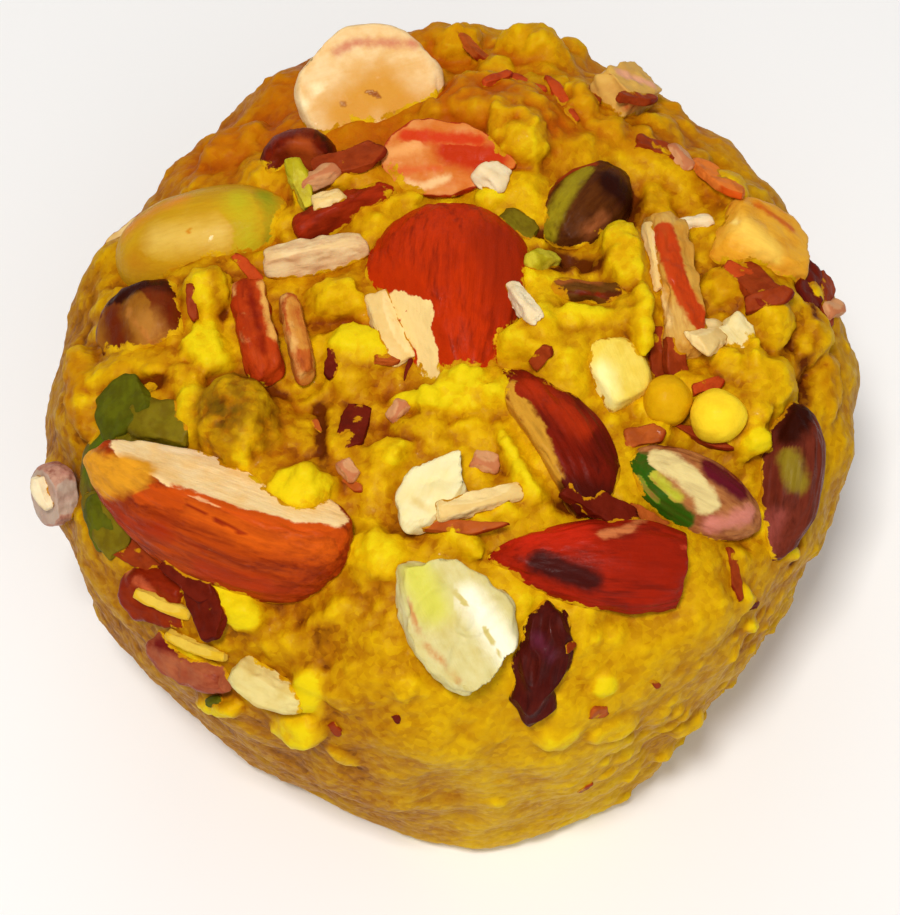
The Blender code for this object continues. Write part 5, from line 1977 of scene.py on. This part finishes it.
BIT_SETS = (
    BitSet("boondi_pearls", "halwa", Forms.WHOLE_PISTACHIO, Carving.SMOOTH, 0.12,
        BitFinish(mottle=0.25, shade=(0.8, 0.66, 0.4)), (
        Bit(60.9, 0.35, 6, 4.1, 4, Tint.PEARL, 4), Bit(63.1, 0.451, -4, 4.5, 4.2, Tint.BRIGHT_PEARL, 4.3),
    )),
    BitSet("skin_scraps", "almond_skin", Forms.SCRAP, Carving.CHIPPED, -0.22,
        BitFinish(mottle=0.65, moist=0.36), (
        Bit(156.9, 0.38, -58, 5.1, 1.2, Tint.RED, 0.8), Bit(73.1, 0.319, -64, 2.8, 1.7, Tint.DARK_RED, 0.9),
        Bit(30.4, 0.401, -8, 5.8, 2.1, Tint.MAROON, 0.9), Bit(-42.4, 0.66, -27, 4.2, 2.2, Tint.MAROON),
        Bit(-37.7, 0.703, -54, 3.9, 2.9, Tint.MAROON, 0.9), Bit(-34.3, 0.219, -86, 3.8, 2.2, Tint.MAROON),
        Bit(-57.2, 0.167, -79, 2.2, 1, Tint.MAROON), Bit(-41.2, 0.11, 24, 2, 0.8, Tint.RUST, 0.5),
        Bit(-30, 0.098, 83, 2.3, 0.4, Tint.MAROON), Bit(68.3, 0.398, 37, 2.5, 1, Tint.RED),
        Bit(171.3, 0.348, 54, 3, 0.9, Tint.RED), Bit(165.4, 0.378, -18, 3.3, 1, Tint.RED),
        Bit(177.4, 0.53, -32, 3.7, 0.9, Tint.RUST), Bit(121.8, 0.491, -45, 5.2, 1.7, Tint.ORANGE),
        Bit(95.8, 0.452, -46, 4.9, 2.8, Tint.DARK_RED), Bit(90.4, 0.463, 29, 3.4, 1.5, Tint.DARK_RED),
        Bit(100, 0.648, -92, 5.3, 2.4, Tint.MAROON), Bit(0.3, 0.367, 10, 6.8, 1, Tint.RUST),
        Bit(144.4, 0.488, 39, 3.8, 1, Tint.DARK_RED), Bit(134.4, 0.438, 12, 3.5, 1.7, Tint.DARK_RED),
        Bit(-142.4, 0.241, 33, 5.2, 2.5, Tint.DARK_RED), Bit(152.3, 0.469, -86, 3.3, 1.2, Tint.DARK_RED),
        Bit(74.5, 0.29, -66, 3.9, 1.7, Tint.DARK_RED), Bit(49.7, 0.354, 27, 2.8, 1.6, Tint.RUST),
        Bit(58.9, 0.451, -12, 4.5, 0.8, Tint.DARK_RED), Bit(45.9, 0.754, -56, 3.8, 0.9, Tint.DARK_RED),
        Bit(-16.3, 0.946, -96, 1.2, 1, Tint.DARK_RED, 0.5), Bit(19.8, 0.92, -32, 1.5, 1.1, Tint.RUST, 0.5),
        Bit(18.8, 1.412, -62, 1.4, 0.8, Tint.DARK_RED, 0.5),
        Bit(28.4, 0.908, -45, 1.2, 0.5, Tint.DARK_RED, 0.5),
        Bit(-7.8, 0.831, -66, 0.7, 0.6, Tint.MAROON, 0.5),
        Bit(16.8, 0.662, 48, 1.1, 0.6, Tint.DARK_RED, 0.5), Bit(47.9, 0.929, -15, 1, 0.8, Tint.MAROON, 0.5),
        Bit(-43.9, 0.254, -56, 1.2, 0.6, Tint.RUST, 0.5),
        Bit(42.4, 0.143, 58, 1.9, 1.1, Tint.DARK_RED, 0.5),
        Bit(-25.6, 0.317, -24, 1.7, 0.7, Tint.RUST, 0.5), Bit(97.9, 0.435, -6, 3.3, 1.5, Tint.RED),
        Bit(-51.7, 0.74, -10, 5.9, 2.1, Tint.DARK_RED), Bit(-100.9, 0.297, -36, 3.2, 1, Tint.RED),
        Bit(-87.4, 0.359, -77, 2.6, 0.8, Tint.DARK_RED), Bit(98.8, 0.722, -88, 5, 2, Tint.DARK_RED),
        Bit(38.3, 0.483, -10, 3.5, 1, Tint.RUST),
    )),
    BitSet("almond_slivers", "almond_flesh", Forms.SLIVER, Carving.CHIPPED, 0.1,
        BitFinish(mottle=0.3, shade=(0.86, 0.7, 0.5)), (
        Bit(103.1, 0.264, -85, 6.4, 1.1, Tint.CREAM, 1.2), Bit(80.4, 0.36, 50, 4.4, 2.8, Tint.CREAM, 0.9),
        Bit(-57.9, 0.073, -72, 6.1, 2.7, Tint.CREAM, 1.3), Bit(63.9, 0.076, -64, 4.4, 1.5, Tint.WHITE, 1.3),
        Bit(5.6, 0.321, 20, 7, 1.6, Tint.CREAM, 1.3), Bit(8.4, 0.244, -12, 2.1, 1.7, Tint.PINKISH, 1.2),
        Bit(-132.7, 0.254, 23, 3.2, 1.4, Tint.PINKISH, 1.2),
        Bit(-128.1, 0.215, 18, 2.6, 1.5, Tint.CREAM, 1.2),
        Bit(96.9, 0.736, 28, 2.9, 1.6, Tint.PINKISH, 1.3), Bit(114.6, 0.397, 2, 2.9, 1, Tint.WHITE, 1.1),
        Bit(164.4, 0.155, -32, 2.5, 2.5, Tint.WHITE, 1.3),
        Bit(129.9, 0.474, -62, 2.9, 1.7, Tint.PINKISH, 1.2), Bit(-44.3, 0.79, -20, 4.8, 1, Tint.STRAW, 0.9),
        Bit(-27.4, 0.299, -54, 1.8, 1.2, Tint.PINKISH, 1), Bit(-37.6, 0.851, -3, 5.3, 0.9, Tint.STRAW, 1),
        Bit(-23.4, 0.168, 48, 1.9, 1.3, Tint.PINKISH, 1),
        Bit(-69.1, 0.859, -126, 2.7, 1.3, Tint.WHITE, 1.2),
    )),
    BitSet("pistachio_bits", "pistachio", Forms.CHUNK, Carving.CHIPPED, 0.02, BitFinish(mottle=0.6), (
        Bit(-71.3, 0.537, 14, 4.7, 4, Tint.GREEN, 1.5), Bit(-65.3, 0.477, -24, 5.4, 3.1, Tint.OLIVE, 1.5),
        Bit(-59.3, 0.743, -104, 4.4, 2.7, Tint.GREEN, 1.4),
        Bit(143.7, 0.108, -33, 3.7, 2.3, Tint.OLIVE, 1.8),
        Bit(-127.6, 0.275, -74, 4.2, 1.4, Tint.LIME, 1.4), Bit(110.4, 0.096, 33, 3.2, 1.6, Tint.LIME, 1.5),
        Bit(-33.7, 1.005, -122, 1.6, 0.6, Tint.GREEN, 0.8),
        Bit(-58.5, 0.734, -88, 5.3, 3.2, Tint.OLIVE, 1.2),
    )),
)


# ---------------- the studio


@dataclass
class Studio:
    """A pale floor, soft lights and the camera."""

    floor_half: float = 1.5
    floor_colours: tuple[Colour, Colour] = ("f8fafb", "f4f4f4")
    focus: tuple[float, float, float] = (0.0, 0.0, 0.021)
    room: float = 0.28
    elevation: float = 58.0
    distance: float = 0.260
    lens: float = 121.8
    rise: float = 0.00248
    shift: float = 0.0005

    def floor(self) -> None:
        """Lay the floor."""
        half = self.floor_half
        corners = [(-half, -half, 0), (half, -half, 0), (half, half, 0), (-half, half, 0)]
        mesh = bpy.data.meshes.new("floor")
        mesh.from_pydata(corners, [], [(0, 1, 2, 3)])
        bench = Dressing("pale_floor")
        clouds = bench.noise(bench.add("TexCoord").outputs["Object"], 6.0, 2.0)
        white = bench.blend(clouds, *(paint(colour) for colour in self.floor_colours))
        mesh.materials.append(bench.finish(base_color=white, roughness=0.7))
        floor = bpy.data.objects.new("floor", mesh)
        put_in_scene(floor)

    def stand(self, thing: bpy.types.Object, place: Vector, aim: Vector) -> None:
        """Put a lamp or the camera in its place, and turn it to its aim.

        Args:
            thing: the lamp or the camera.
            place: where it stands or hangs.
            aim: the point that it faces.
        """
        thing.location = place
        thing.rotation_euler = (aim - place).to_track_quat("-Z", "Y").to_euler()
        put_in_scene(thing)

    def light(self, name: str, place: Vector, size: float, power: float, colour: Colour) -> None:
        """Hang a square soft light that faces the serving.

        Args:
            name: its name.
            place: where it hangs.
            size: its side.
            power: its power in watts.
            colour: its colour.
        """
        data = bpy.data.lights.new(name, "AREA")
        data.size = size
        data.energy = power
        data.color = paint(colour)[:3]
        self.stand(bpy.data.objects.new(name, data), place, Vector(self.focus))

    def lights(self) -> None:
        """Hang the lights and light the room."""
        self.light("key", Vector((-0.06, -0.20, 0.57)), 0.10, 2.5, "fffaf4")
        self.light("fill", Vector((0.10, -0.42, 0.44)), 0.40, 0.72, "fafcff")
        self.light("back", Vector((-0.05, 0.50, 0.42)), 0.45, 0.42, "fffaf6")
        world = bpy.data.worlds.new("room")
        world.use_nodes = True
        inputs = world.node_tree.nodes["Background"].inputs
        inputs["Color"].default_value = (1.0, 1.0, 1.0, 1.0)
        inputs["Strength"].default_value = self.room
        bpy.context.scene.world = world

    def camera(self) -> None:
        """Stand the camera where the photograph was taken from."""
        tilt = math.radians(self.elevation)
        focus = Vector(self.focus)
        place = focus + Vector((0.0, -math.cos(tilt), math.sin(tilt))) * self.distance
        aim = focus - Vector((0.0, math.sin(tilt), math.cos(tilt))) * self.rise - Vector((self.shift, 0, 0))
        data = bpy.data.cameras.new("camera")
        data.lens = self.lens
        data.sensor_width = 36.0
        data.clip_start = 0.01
        camera = bpy.data.objects.new("camera", data)
        self.stand(camera, place, aim)
        bpy.context.scene.camera = camera

    def build(self) -> None:
        """Set up the studio."""
        self.floor()
        self.lights()
        self.camera()
        bpy.context.scene.view_settings.view_transform = "Standard"


def main() -> None:
    """Build the serving and the studio around it."""
    logging.basicConfig(level=logging.INFO, format="%(name)s: %(message)s")
    halwa = HalwaMound(NutSolids()).build()
    halwa_tree = halwa.tree()
    kernels = [nut.build(seed, halwa_tree) for seed, nut in enumerate(NUTS, 1)]
    surface = joined([halwa, *kernels]).tree()
    for bits in BIT_SETS:
        bits.build(surface)
    Studio().build()


if __name__ == "__main__":
    main()
